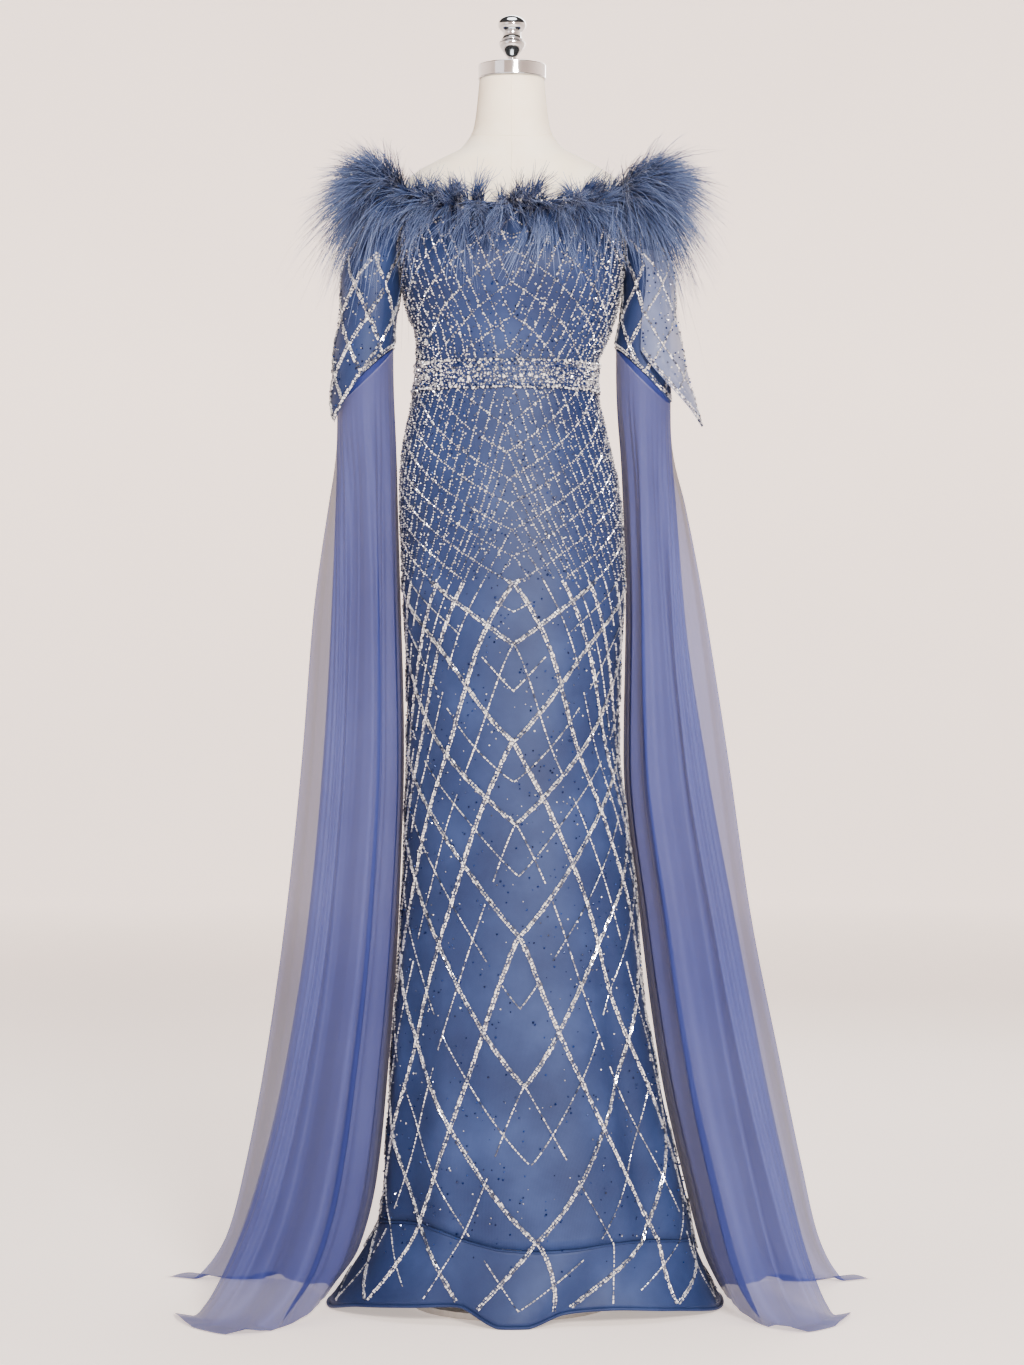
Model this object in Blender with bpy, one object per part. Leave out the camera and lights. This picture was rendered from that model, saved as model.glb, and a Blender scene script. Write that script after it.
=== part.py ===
"""A floor-length off-shoulder dress with long sheer sleeve wings, on a limbless dress form.

Every cloth piece is a thin wall laid over a figure that is given by a few sections. X runs to the
right, the front faces -Y, and the floor under the stand is z = 0. Metres throughout.
"""
from collections import namedtuple
from math import cos, exp, floor, pi, radians, sin

import bpy
import numpy as np
from mathutils import Vector

# Driving sizes
CLOTH_WALL = 0.0015
CHIFFON_WALL = 0.0012
SEAM_GAP = 0.0003
SIDE_GAP_ANGLE = 0.10  # degrees that a panel stops short of its side seam
EASE_GAP = 0.0009  # between the form and the cloth on it
SQUARENESS = 0.89  # 1 is an ellipse, less is fuller at the corners

WAIST_Z = 1.1535
BELT_LOW_Z, BELT_TOP_Z = 1.1372, 1.1706
UNDERARM_Z = 1.331

BUST_ANGLE, BUST_Z = 36.0, 1.283
BUST_RISE, BUST_SPREAD, BUST_HEIGHT = 0.012, 24.0, 0.040

FORM_LOW_Z = 0.800
POLE_RADIUS = 0.0125
BASE_RADIUS, BASE_HEIGHT, BASE_EDGE = 0.125, 0.020, 0.008

PANEL_CELLS = 16  # round half the figure
SLEEVE_CELLS, SLEEVE_ROWS = 18, 7
WING_CELLS, WING_ROWS = 34, 15
FLOUNCE_CELLS, FLOUNCE_ROWS = 32, 3

TRIM_WIDTH, TRIM_WALL, TRIM_GAP = 0.012, 0.002, 0.0007
TRIM_PITCH = 0.0072


class Table:
    """Rows of named columns, read between the rows along a smooth curve that never overshoots."""

    def __init__(self, columns, rows):
        self.row = namedtuple("Row", columns)
        data = np.array(sorted(rows), float)
        self.places = data[:, 0]
        self.values = data
        step = np.diff(self.places)[:, None]
        rate = np.diff(data, axis=0) / step
        slope = np.zeros_like(data)
        slope[0], slope[-1] = rate[0], rate[-1]
        for i in range(1, len(data) - 1):
            a, b = rate[i - 1], rate[i]
            same = a * b > 0
            slope[i][same] = 2 * a[same] * b[same] / (a[same] + b[same])
        self.slope = slope

    def at(self, place):
        place = min(max(place, self.places[0]), self.places[-1])
        i = min(int(np.searchsorted(self.places, place, "right")) - 1, len(self.places) - 2)
        i = max(i, 0)
        step = self.places[i + 1] - self.places[i]
        u = (place - self.places[i]) / step
        p, q, r, s = self.values[i], self.values[i + 1], self.slope[i] * step, self.slope[i + 1] * step
        value = (
            p * (1 + 2 * u) * (1 - u) ** 2
            + r * u * (1 - u) ** 2
            + q * u * u * (3 - 2 * u)
            + s * u * u * (u - 1)
        )
        return self.row(*value)


# The dressed figure, from the hem band up to the top of the neck
FIGURE = Table("z mid half front back", [
    (0.060, 0.0300, 0.2010, 0.158, 0.190),
    (0.106, 0.0290, 0.1940, 0.155, 0.182),
    (0.272, 0.0160, 0.1690, 0.144, 0.157),
    (0.418, 0.0090, 0.1520, 0.137, 0.139),
    (0.508, 0.0090, 0.1460, 0.133, 0.131),
    (0.597, 0.0050, 0.1390, 0.129, 0.124),
    (0.703, 0.0010, 0.1320, 0.125, 0.119),
    (0.811, 0.0020, 0.1335, 0.121, 0.117),
    (0.899, 0.0020, 0.1385, 0.117, 0.116),
    (0.980, -0.0010, 0.1380, 0.110, 0.111),
    (1.028, -0.0040, 0.1350, 0.104, 0.104),
    (1.078, -0.0075, 0.1265, 0.095, 0.092),
    (1.130, -0.0080, 0.1155, 0.086, 0.081),
    (1.155, -0.0070, 0.1110, 0.083, 0.078),
    (1.176, -0.0055, 0.1130, 0.084, 0.079),
    (1.216, 0.0010, 0.1225, 0.090, 0.083),
    (1.233, 0.0000, 0.1290, 0.094, 0.086),
    (1.265, 0.0000, 0.1360, 0.101, 0.092),
    (1.297, 0.0000, 0.1395, 0.104, 0.096),
    (1.325, 0.0000, 0.1405, 0.099, 0.098),
    (1.355, 0.0000, 0.1415, 0.092, 0.097),
    (1.380, 0.0000, 0.1420, 0.085, 0.094),
    (1.398, 0.0000, 0.1360, 0.079, 0.089),
    (1.412, 0.0000, 0.1200, 0.073, 0.083),
    (1.427, 0.0000, 0.0920, 0.067, 0.072),
    (1.441, 0.0000, 0.0660, 0.060, 0.062),
    (1.468, 0.0000, 0.0505, 0.052, 0.053),
    (1.528, 0.0000, 0.0433, 0.045, 0.045),
])

# Heights that the form, the bodice and the skirt all have a row at
BODICE_LEVELS = [1.1535, 1.1706, 1.190, 1.2125, 1.235, 1.2575, 1.280, 1.3025, 1.314, 1.326]
SKIRT_LEVELS = [
    1.1535, 1.1372, 1.110, 1.080, 1.050, 1.020, 0.990, 0.960, 0.930,
    0.870, 0.800, 0.720, 0.640, 0.560, 0.480, 0.400, 0.320, 0.240, 0.170,
]
FORM_LOW = Table("z share", [(0.800, 0.55), (0.815, 0.78), (0.850, 0.92), (0.890, 0.98), (0.930, 1.0)])
FORM_NECK_LEVELS = [1.340, 1.352, 1.366, 1.380, 1.398, 1.412, 1.427, 1.441, 1.468, 1.528]

# Long soft folds of the skirt: a trough is negative
SKIRT_FOLD = namedtuple("SkirtFold", "angle width depth top")
SKIRT_FOLD_LOW_Z = 0.06
SKIRT_FOLDS = [
    SKIRT_FOLD(43, 9.0, -0.009, 0.62), SKIRT_FOLD(64, 10.0, 0.004, 0.60),
    SKIRT_FOLD(-52, 9.0, -0.006, 0.50), SKIRT_FOLD(138, 9.0, -0.008, 0.60),
    SKIRT_FOLD(-140, 8.0, -0.009, 0.55), SKIRT_FOLD(180, 12.0, 0.006, 0.50),
]

# The seam between the skirt and the flounce, and the flounce's hem, by angle from the centre front
HEM_SEAM = Table("angle z", [
    (-180, 0.095), (-120, 0.104), (-90, 0.108), (-45, 0.118), (-12, 0.094),
    (0, 0.091), (30, 0.099), (60, 0.094), (90, 0.083), (135, 0.092), (180, 0.095),
])
FLOUNCE_HEM = Table("angle reach lift", [
    (-180, 0.215, 0.0), (-158, 0.200, 0.018), (-134, 0.222, 0.0), (-112, 0.218, 0.013),
    (-90, 0.230, 0.0), (-64, 0.205, 0.015), (-42, 0.178, 0.021), (-22, 0.160, 0.024),
    (0, 0.176, 0.0), (20, 0.164, 0.016), (38, 0.184, 0.020), (60, 0.222, 0.014),
    (80, 0.258, 0.004), (97, 0.264, 0.0), (118, 0.238, 0.016), (140, 0.222, 0.0),
    (160, 0.202, 0.017), (180, 0.215, 0.0),
])

# The neckline ring that carries the feathers, by angle; reach is how far it stands off the figure
NECKLINE = Table("angle z reach", [
    (-180, 1.368, 0.0), (-150, 1.370, 0.0), (-125, 1.376, 0.003), (-108, 1.390, 0.018),
    (-90, 1.398, 0.029), (-72, 1.388, 0.018), (-55, 1.372, 0.003), (-35, 1.362, 0.0),
    (0, 1.356, 0.0), (35, 1.362, 0.0), (55, 1.372, 0.003), (72, 1.388, 0.018),
    (90, 1.398, 0.029), (108, 1.390, 0.018), (125, 1.376, 0.003), (150, 1.370, 0.0),
    (180, 1.368, 0.0),
])
SHOULDER_FROM, SHOULDER_TO = 58.0, 122.0

# Sleeve tubes: distances from the middle plane, half depth, and the middle of the depth
SLEEVE = {
    "left": Table("z inner outer deep middle", [
        (1.110, 0.1520, 0.2190, 0.040, 0.004), (1.155, 0.1500, 0.2180, 0.041, 0.003),
        (1.195, 0.1480, 0.2155, 0.043, 0.002), (1.233, 0.1435, 0.2110, 0.045, 0.0),
        (1.265, 0.1405, 0.2095, 0.046, 0.0), (1.297, 0.1405, 0.2095, 0.046, 0.0),
        (1.330, 0.1418, 0.2060, 0.044, 0.0), (1.360, 0.1425, 0.1980, 0.042, 0.0),
        (1.395, 0.1430, 0.1850, 0.036, 0.0),
    ]),
    "right": Table("z inner outer deep middle", [
        (1.110, 0.1300, 0.1990, 0.040, 0.004), (1.155, 0.1300, 0.1975, 0.041, 0.003),
        (1.195, 0.1300, 0.1960, 0.043, 0.002), (1.233, 0.1340, 0.1960, 0.045, 0.0),
        (1.265, 0.1400, 0.1970, 0.046, 0.0), (1.297, 0.1405, 0.1990, 0.046, 0.0),
        (1.330, 0.1418, 0.1990, 0.044, 0.0), (1.360, 0.1425, 0.1960, 0.042, 0.0),
        (1.395, 0.1430, 0.1850, 0.036, 0.0),
    ]),
}
SLEEVE_EDGE_INNER_Z, SLEEVE_EDGE_OUTER_Z = 1.192, 1.124
SIDE = {"left": -1, "right": 1}

# The pointed overlay on each sleeve: where its point lies round the sleeve, how low it reaches,
# and how far the point stands off
SLEEVE_POINT = {
    "left": dict(angle=-34, half_turn=84, top=1.310, side_z=1.190, tip_z=1.098, stand=0.004),
    "right": dict(angle=-12, half_turn=84, top=1.310, side_z=1.186, tip_z=1.092, stand=0.034),
}
POINT_CELLS, POINT_ROWS = 12, 6
POINT_EDGE_GAP, POINT_GAP = 0.0006, 0.0018

# Wings, by distance down the cloth. Widths are from the middle plane; out_front and out_back are the
# two free edges; end_front and end_back say how far each free edge keeps its panel's depth; lie is 1
# where the cloth lies on the floor.
WING_COLUMNS = "down z inner out_front out_back middle front back end_front end_back lie"
WING = {
    "left": Table(WING_COLUMNS, [
        (0.000, 1.158, 0.1500, 0.219, 0.219, 0.003, 0.042, 0.042, 0.00, 0.00, 0.0),
        (0.120, 1.038, 0.1430, 0.216, 0.228, 0.008, 0.050, 0.050, 0.35, 0.55, 0.0),
        (0.300, 0.858, 0.1380, 0.222, 0.252, 0.010, 0.062, 0.066, 0.80, 0.95, 0.0),
        (0.480, 0.678, 0.1345, 0.232, 0.268, 0.010, 0.076, 0.082, 0.90, 1.00, 0.0),
        (0.680, 0.478, 0.1420, 0.250, 0.290, 0.010, 0.092, 0.098, 0.90, 1.00, 0.0),
        (0.870, 0.288, 0.1565, 0.280, 0.318, 0.010, 0.112, 0.112, 0.85, 1.00, 0.0),
        (1.010, 0.150, 0.1710, 0.314, 0.345, 0.010, 0.138, 0.120, 0.80, 1.00, 0.0),
        (1.100, 0.064, 0.1930, 0.346, 0.368, 0.010, 0.160, 0.128, 0.72, 1.00, 0.0),
        (1.152, 0.018, 0.2230, 0.370, 0.396, 0.010, 0.182, 0.136, 0.62, 1.00, 0.3),
        (1.185, 0.0012, 0.2340, 0.388, 0.418, 0.010, 0.196, 0.146, 0.52, 1.00, 0.9),
        (1.235, 0.0012, 0.2360, 0.412, 0.454, 0.010, 0.222, 0.166, 0.36, 1.00, 1.0),
    ]),
    "right": Table(WING_COLUMNS, [
        (0.000, 1.158, 0.1300, 0.198, 0.198, 0.003, 0.042, 0.042, 0.00, 0.00, 0.0),
        (0.120, 1.038, 0.1350, 0.200, 0.214, 0.008, 0.050, 0.050, 0.35, 0.55, 0.0),
        (0.300, 0.858, 0.1415, 0.212, 0.246, 0.010, 0.062, 0.066, 0.80, 0.95, 0.0),
        (0.480, 0.678, 0.1390, 0.238, 0.276, 0.010, 0.076, 0.082, 0.90, 1.00, 0.0),
        (0.680, 0.478, 0.1605, 0.274, 0.306, 0.010, 0.092, 0.098, 0.90, 1.00, 0.0),
        (0.870, 0.288, 0.1870, 0.310, 0.345, 0.010, 0.112, 0.112, 0.85, 1.00, 0.0),
        (1.010, 0.150, 0.2170, 0.340, 0.374, 0.010, 0.134, 0.116, 0.80, 1.00, 0.0),
        (1.100, 0.064, 0.2390, 0.362, 0.394, 0.010, 0.152, 0.118, 0.72, 1.00, 0.0),
        (1.152, 0.018, 0.2590, 0.380, 0.416, 0.010, 0.170, 0.124, 0.62, 1.00, 0.3),
        (1.185, 0.0012, 0.2680, 0.394, 0.434, 0.010, 0.182, 0.132, 0.52, 1.00, 0.9),
        (1.235, 0.0012, 0.2700, 0.414, 0.470, 0.010, 0.206, 0.150, 0.36, 1.00, 1.0),
    ]),
}
WING_LENGTH, WING_INNER_LENGTH = 1.235, 1.160
WING_DROP = 0.00085  # under the sleeve's edge, so that the two many-sided edges stay clear
WING_EDGE_T = 0.982  # how far round the sleeve the gathered edge runs
# The long folds of each wing: at is the place across the cloth, from -1, the front free edge, over 0,
# the fold beside the body, to 1, the back free edge
FOLD = namedtuple("Fold", "at width top mid hem lean")
WING_FOLDS = {
    "left": [
        FOLD(-0.88, 0.075, 0.002, 0.006, 0.014, 0.004),
        FOLD(-0.68, 0.080, -0.003, -0.009, -0.017, -0.005),
        FOLD(-0.50, 0.070, 0.003, 0.009, 0.016, 0.005),
        FOLD(-0.30, 0.080, -0.003, -0.009, -0.015, 0.002),
        FOLD(0.30, 0.080, -0.003, -0.009, -0.015, 0.002),
        FOLD(0.47, 0.070, 0.003, 0.008, 0.017, 0.004),
        FOLD(0.66, 0.080, -0.002, -0.008, -0.017, -0.003),
        FOLD(0.86, 0.075, 0.002, 0.006, 0.012, 0.002),
    ],
    "right": [
        FOLD(-0.86, 0.080, 0.002, 0.006, 0.012, 0.003),
        FOLD(-0.66, 0.070, -0.003, -0.010, -0.018, -0.006),
        FOLD(-0.46, 0.080, 0.003, 0.009, 0.016, 0.004),
        FOLD(-0.27, 0.070, -0.003, -0.008, -0.014, 0.002),
        FOLD(0.28, 0.080, -0.003, -0.009, -0.015, 0.002),
        FOLD(0.48, 0.070, 0.003, 0.009, 0.016, 0.004),
        FOLD(0.68, 0.075, -0.002, -0.007, -0.017, -0.003),
        FOLD(0.87, 0.075, 0.002, 0.006, 0.012, 0.002),
    ],
}

# Feather locks: length, rise and spread for each strip, upper row and lower row
LOCK = namedtuple("Lock", "length vary rise_low rise_high splay")
LOCKS = {
    "front": (LOCK(0.040, 0.35, 28, 74, 10), LOCK(0.050, 0.30, -58, -22, 12)),
    "back": (LOCK(0.038, 0.35, 24, 66, 10), LOCK(0.050, 0.30, -58, -24, 12)),
    "shoulder": (LOCK(0.066, 0.25, 18, 72, 14), LOCK(0.072, 0.25, -46, -4, 14)),
}
LOCK_DROOP = 34.0
LOCK_SHARES = (0.26, 0.40, 0.34)  # of a lock's length, root to tip
LOCK_TAPER = (0.80, 0.55)

# Turned pieces: radius and height, from the bottom up
FINIAL_PROFILE = [
    (0.0060, 1.5483), (0.0060, 1.5560), (0.0075, 1.5590), (0.0110, 1.5620), (0.0165, 1.5700),
    (0.0160, 1.5745), (0.0125, 1.5765), (0.0135, 1.5800), (0.0120, 1.5850), (0.0165, 1.5885),
    (0.0180, 1.5960), (0.0165, 1.6035), (0.0100, 1.6085),
]
CAP_PROFILE = [(0.0425, 1.5283), (0.0425, 1.5450), (0.0405, 1.5472), (0.0340, 1.5480)]

# Colours: linear base colour, roughness, metallic
FINISH = {
    "linen": ((0.855, 0.790, 0.680), 0.85, 0.0),
    "chrome": ((0.780, 0.790, 0.800), 0.12, 1.0),
    "white_steel": ((0.800, 0.790, 0.770), 0.40, 0.0),
    "beaded_net": ((0.105, 0.195, 0.480), 0.55, 0.0),
    "belt_beads": ((0.560, 0.570, 0.600), 0.30, 0.3),
    "chiffon": ((0.190, 0.235, 0.520), 0.70, 0.0),
    "feather": ((0.075, 0.150, 0.380), 0.75, 0.0),
}


def ease(u):
    """Smooth step from 0 to 1."""
    u = min(max(u, 0.0), 1.0)
    return u * u * (3 - 2 * u)


def power(value, exponent):
    return abs(value) ** exponent * (1 if value >= 0 else -1)


def scatter(index, seed):
    """A repeatable value from 0 to 1 for one of many."""
    value = sin(index * 12.9898 + seed * 78.233) * 43758.5453
    return value - floor(value)


def hump(distance, width):
    return exp(-((distance / width) ** 2))


# The figure's surface
def turn_between(a, b):
    """The angle from b to a, in degrees, from -180 to 180."""
    return (a - b + 180) % 360 - 180


def figure_raw(angle, z):
    """A point of the dressed figure; the angle is from the centre front towards +X."""
    row = FIGURE.at(z)
    s, c = sin(radians(angle)), cos(radians(angle))
    x = row.mid + row.half * power(s, SQUARENESS)
    y = -(row.front if c > 0 else row.back) * power(c, SQUARENESS)
    for bust in (-BUST_ANGLE, BUST_ANGLE):
        rise = BUST_RISE * hump(turn_between(angle, bust), BUST_SPREAD) * hump(z - BUST_Z, BUST_HEIGHT)
        y -= rise
    return Vector((x, y, z))


def figure(angle, z, out=0.0):
    """A point moved out from the figure along its normal."""
    da, dz = 1.5, 0.004
    point = figure_raw(angle, z)
    around = figure_raw(angle + da, z) - figure_raw(angle - da, z)
    up = figure_raw(angle, z + dz) - figure_raw(angle, z - dz)
    return point + around.cross(up).normalized() * out


def figure_level(angle, z, out=0.0):
    """A point moved out from the figure, level."""
    da = 1.5
    around = figure_raw(angle + da, z) - figure_raw(angle - da, z)
    return figure_raw(angle, z) + Vector((around.y, -around.x, 0)).normalized() * out


# Walls and objects
def grid_normals(grid, closed):
    """Unit normals of a grid of points, across its rows and columns."""
    rows = np.gradient(grid, axis=1, edge_order=2)
    if closed:
        columns = (np.roll(grid, -1, axis=0) - np.roll(grid, 1, axis=0)) / 2
    else:
        columns = np.gradient(grid, axis=0, edge_order=2)
    normal = np.cross(columns, rows)
    length = np.linalg.norm(normal, axis=2, keepdims=True)
    return normal / np.maximum(length, 1e-12)


def new_object(name, vertices, faces, finish):
    mesh = bpy.data.meshes.new(name)
    mesh.from_pydata([tuple(v) for v in vertices], [], faces)
    mesh.validate()
    mesh.shade_smooth()
    mesh.set_sharp_from_angle(angle=radians(40))
    mesh.materials.append(material(finish))
    thing = bpy.data.objects.new(name, mesh)
    bpy.context.scene.collection.objects.link(thing)
    return thing


def material(finish):
    found = bpy.data.materials.get(finish)
    if found:
        return found
    colour, roughness, metallic = FINISH[finish]
    made = bpy.data.materials.new(finish)
    made.use_nodes = True
    shader = made.node_tree.nodes["Principled BSDF"]
    shader.inputs["Base Color"].default_value = (*colour, 1.0)
    shader.inputs["Roughness"].default_value = roughness
    shader.inputs["Metallic"].default_value = metallic
    return made


def cloth(name, points, wall, finish, closed=False, floor_z=None, softened=0):
    """A wall inside a grid of outer points: columns run round to the left, rows run up.

    Softened counts how often each wall direction is averaged with its neighbours', at tight folds.
    """
    grid = np.array([[tuple(p) for p in column] for column in points], float)
    normal = grid_normals(grid, closed)
    for _ in range(softened):
        wide = np.pad(normal, ((1, 1), (1, 1), (0, 0)), mode="edge")
        normal = 2 * normal + wide[:-2, 1:-1] + wide[2:, 1:-1] + wide[1:-1, :-2] + wide[1:-1, 2:]
        normal /= np.linalg.norm(normal, axis=2, keepdims=True)
    inner = grid - normal * wall
    if floor_z is not None:
        grid[:, :, 2] = np.maximum(grid[:, :, 2], floor_z)
        inner[:, :, 2] = np.maximum(inner[:, :, 2], floor_z)
    across, along = grid.shape[:2]
    half = across * along
    vertices = np.vstack([grid.reshape(-1, 3), inner.reshape(-1, 3)])

    def index(i, j, side):
        return side * half + (i % across) * along + j

    faces = []
    cells = across if closed else across - 1
    for i in range(cells):
        for j in range(along - 1):
            for side in (0, 1):  # both sides are split along the same diagonal, so they never cross
                a, b = index(i, j, side), index(i + 1, j, side)
                c, d = index(i + 1, j + 1, side), index(i, j + 1, side)
                faces += [(a, b, c), (a, c, d)] if side == 0 else [(a, c, b), (a, d, c)]
        top = along - 1
        faces.append((index(i, 0, 1), index(i + 1, 0, 1), index(i + 1, 0, 0), index(i, 0, 0)))
        faces.append((index(i, top, 0), index(i + 1, top, 0), index(i + 1, top, 1), index(i, top, 1)))
    if not closed:
        last = across - 1
        for j in range(along - 1):
            faces.append((index(0, j, 0), index(0, j + 1, 0), index(0, j + 1, 1), index(0, j, 1)))
            faces.append((index(last, j, 1), index(last, j + 1, 1), index(last, j + 1, 0), index(last, j, 0)))
    return new_object(name, vertices, faces, finish)


def solid_of_rings(name, rings, finish):
    """A closed solid through rings that run round to the left, from the lowest ring up."""
    count = len(rings[0])
    vertices = [p for ring in rings for p in ring]
    faces = [tuple(reversed(range(count)))]
    for r in range(len(rings) - 1):
        for i in range(count):
            a, b = r * count + i, r * count + (i + 1) % count
            faces += [(a, b, b + count), (a, b + count, a + count)]
    faces.append(tuple(range((len(rings) - 1) * count, len(rings) * count)))
    return new_object(name, vertices, faces, finish)


def turned(name, profile, sides, finish, centre=(0.0, 0.0)):
    rings = []
    for radius, z in profile:
        angles = [2 * pi * i / sides for i in range(sides)]
        rings.append([Vector((centre[0] + radius * cos(a), centre[1] + radius * sin(a), z)) for a in angles])
    return solid_of_rings(name, rings, finish)


# The dress form
def make_form():
    inset = -(CLOTH_WALL + EASE_GAP)
    angles = [360 * i / (2 * PANEL_CELLS) for i in range(2 * PANEL_CELLS)]
    low = [row[0] for row in FORM_LOW.values[:-1]]
    shared = [z for z in SKIRT_LEVELS[1:] if z >= FORM_LOW.places[-1]]
    levels = sorted(low + shared + BODICE_LEVELS + FORM_NECK_LEVELS)
    middle = FIGURE.at(FORM_LOW_Z)
    rings = []
    for z in levels:
        share = FORM_LOW.at(z).share if z < FORM_LOW.places[-1] else 1.0
        ring = [figure(a, max(z, FORM_LOW.places[-1]), inset) for a in angles]
        centre = Vector((middle.mid, 0, z))
        if share < 1:
            ring = [centre + (p - centre) * share for p in ring]
        for p in ring:
            p.z = z
        rings.append(ring)
    solid_of_rings("form_torso", rings, "linen")
    turned("form_cap", CAP_PROFILE, 28, "chrome")
    turned("form_finial", FINIAL_PROFILE, 16, "chrome")
    base = [
        (BASE_RADIUS, 0.0), (BASE_RADIUS, BASE_EDGE), (BASE_RADIUS * 0.94, BASE_EDGE * 1.6),
        (BASE_RADIUS * 0.30, BASE_HEIGHT),
    ]
    turned("form_base", base, 32, "white_steel")
    pole = [(POLE_RADIUS, BASE_HEIGHT + SEAM_GAP), (POLE_RADIUS, FORM_LOW_Z - SEAM_GAP)]
    turned("form_pole", pole, 12, "white_steel")


# Bodice, belt, skirt and flounce
def panel_angles(centre, cells):
    """The angles of half the figure, just short of the side seams."""
    angles = [centre - 90 + 180 * i / cells for i in range(cells + 1)]
    angles[0] += SIDE_GAP_ANGLE
    angles[-1] -= SIDE_GAP_ANGLE
    return angles


def seam_height(angle):
    """The height of the flounce's seam, straight between the skirt's own points."""
    cell = 180 / PANEL_CELLS
    step = floor(angle / cell)
    first, second = (HEM_SEAM.at(turn_between(k * cell, 0)).z for k in (step, step + 1))
    return first + (second - first) * (angle / cell - step)


def bodice_top(angle):
    """The height of the bodice's upper edge: the neckline, and the armholes at the sides."""
    turn = abs(turn_between(angle, 0))
    edge = NECKLINE.at(turn).z + 0.002
    armhole = 1 - ease(abs(turn - 90) / 34.0)
    return edge + (UNDERARM_Z - edge) * armhole


def make_bodice():
    for name, centre in (("bodice_front", 0), ("bodice_back", 180)):
        columns = []
        for angle in panel_angles(centre, PANEL_CELLS):
            top = bodice_top(angle)
            levels = [z + (SEAM_GAP if z == WAIST_Z else 0) for z in BODICE_LEVELS]
            columns.append([figure(angle, z) for z in levels + [top]])
        cloth(name, columns, CLOTH_WALL, "beaded_net")


def make_belt():
    out = CLOTH_WALL + EASE_GAP
    for name, centre in (("belt_front", 0), ("belt_back", 180)):
        levels = (BELT_LOW_Z, WAIST_Z, BELT_TOP_Z)
        columns = [[figure(a, z, out) for z in levels] for a in panel_angles(centre, PANEL_CELLS)]
        cloth(name, columns, CLOTH_WALL, "belt_beads")


def skirt_point(angle, z):
    """A point of the skirt's outer surface, with its long folds."""
    out = 0.0
    for fold in SKIRT_FOLDS:
        fade = ease((fold.top - z) / (fold.top - SKIRT_FOLD_LOW_Z) * 1.6)
        out += fold.depth * fade * hump(turn_between(angle, fold.angle), fold.width)
    return figure_level(angle, z, out) if out else figure(angle, z)


def make_skirt():
    for name, centre in (("skirt_front", 0), ("skirt_back", 180)):
        columns = []
        for angle in panel_angles(centre, PANEL_CELLS):
            seam = seam_height(angle)
            columns.append([skirt_point(angle, z) for z in [seam] + SKIRT_LEVELS[:0:-1]])
            columns[-1].append(skirt_point(angle, WAIST_Z))
        cloth(name, columns, CLOTH_WALL, "beaded_net")


def flounce_point(angle, share):
    """A point of the flounce, from its seam, share 0, to its hem, share 1."""
    turn = turn_between(angle, 0)
    seam = seam_height(angle) - 2 * SEAM_GAP
    hem = FLOUNCE_HEM.at(turn)
    top = skirt_point(angle, seam)
    s, c = sin(radians(angle)), cos(radians(angle))
    low = Vector((hem.reach * power(s, SQUARENESS), -hem.reach * power(c, SQUARENESS), hem.lift))
    flare = share ** 1.25
    point = top + (low - top) * flare
    point.z = seam + (hem.lift - seam) * share
    return point


def make_flounce():
    for name, centre in (("flounce_front", 0), ("flounce_back", 180)):
        columns = []
        for angle in panel_angles(centre, FLOUNCE_CELLS):
            shares = [1 - j / FLOUNCE_ROWS for j in range(FLOUNCE_ROWS + 1)]
            columns.append([flounce_point(angle, share) for share in shares])
        cloth(name, columns, CLOTH_WALL, "beaded_net", floor_z=0.0)


# Sleeves, their pointed overlays and their wings
def neckline_point(angle, height=0.0, out=0.0):
    """A point on the neckline ring, moved up and out."""
    row = NECKLINE.at(turn_between(angle, 0))
    return figure_level(angle, row.z + height, row.reach + out)


def armhole_curve(turn):
    """The closed upper edge of the sleeve; turn 0 is its outermost point, 180 is under the arm."""
    below = -TRIM_WIDTH / 2 - 2 * SEAM_GAP
    turn = turn_between(turn, 0)
    if abs(turn) <= 90:
        return neckline_point(90 + turn / 90 * 32, below, TRIM_GAP)
    rest = (180 - abs(turn)) / 90
    angle = 90 + (32 * rest) * (1 if turn > 0 else -1)
    edge = NECKLINE.at(angle).z + below
    return figure_level(angle, UNDERARM_Z + (edge - UNDERARM_Z) * rest ** 1.5, 2 * EASE_GAP)


def sleeve_point(side, turn, share, out=0.0):
    """A point of the sleeve: share 0 at the armhole, 1 at the lower edge. Turn 90 is to the back."""
    outness = (1 + cos(radians(turn))) / 2
    low = SLEEVE_EDGE_INNER_Z + (SLEEVE_EDGE_OUTER_Z - SLEEVE_EDGE_INNER_Z) * outness
    top = armhole_curve(turn)
    z = top.z + (low - top.z) * share
    row = SLEEVE[side].at(z)
    c, s = cos(radians(turn)), sin(radians(turn))
    x = (row.outer + row.inner) / 2 + (row.outer - row.inner) / 2 * c
    y = row.middle + row.deep * s
    settle = ease(share / 0.42)
    x, y = top.x + (x - top.x) * settle + out * c, top.y + (y - top.y) * settle + out * s
    return Vector((x * SIDE[side], y, z))


def ordered(side, columns):
    """Columns in the order that keeps the wall's outer side out on both sides of the body."""
    return columns if side == "right" else columns[::-1]


def make_sleeves():
    for side in SIDE:
        turns = [360 * i / SLEEVE_CELLS for i in range(SLEEVE_CELLS)]
        shares = [1 - j / SLEEVE_ROWS for j in range(SLEEVE_ROWS + 1)]
        columns = [[sleeve_point(side, turn, share) for share in shares] for turn in turns]
        cloth(f"sleeve_{side}", ordered(side, columns), CLOTH_WALL, "beaded_net", closed=True)


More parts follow.
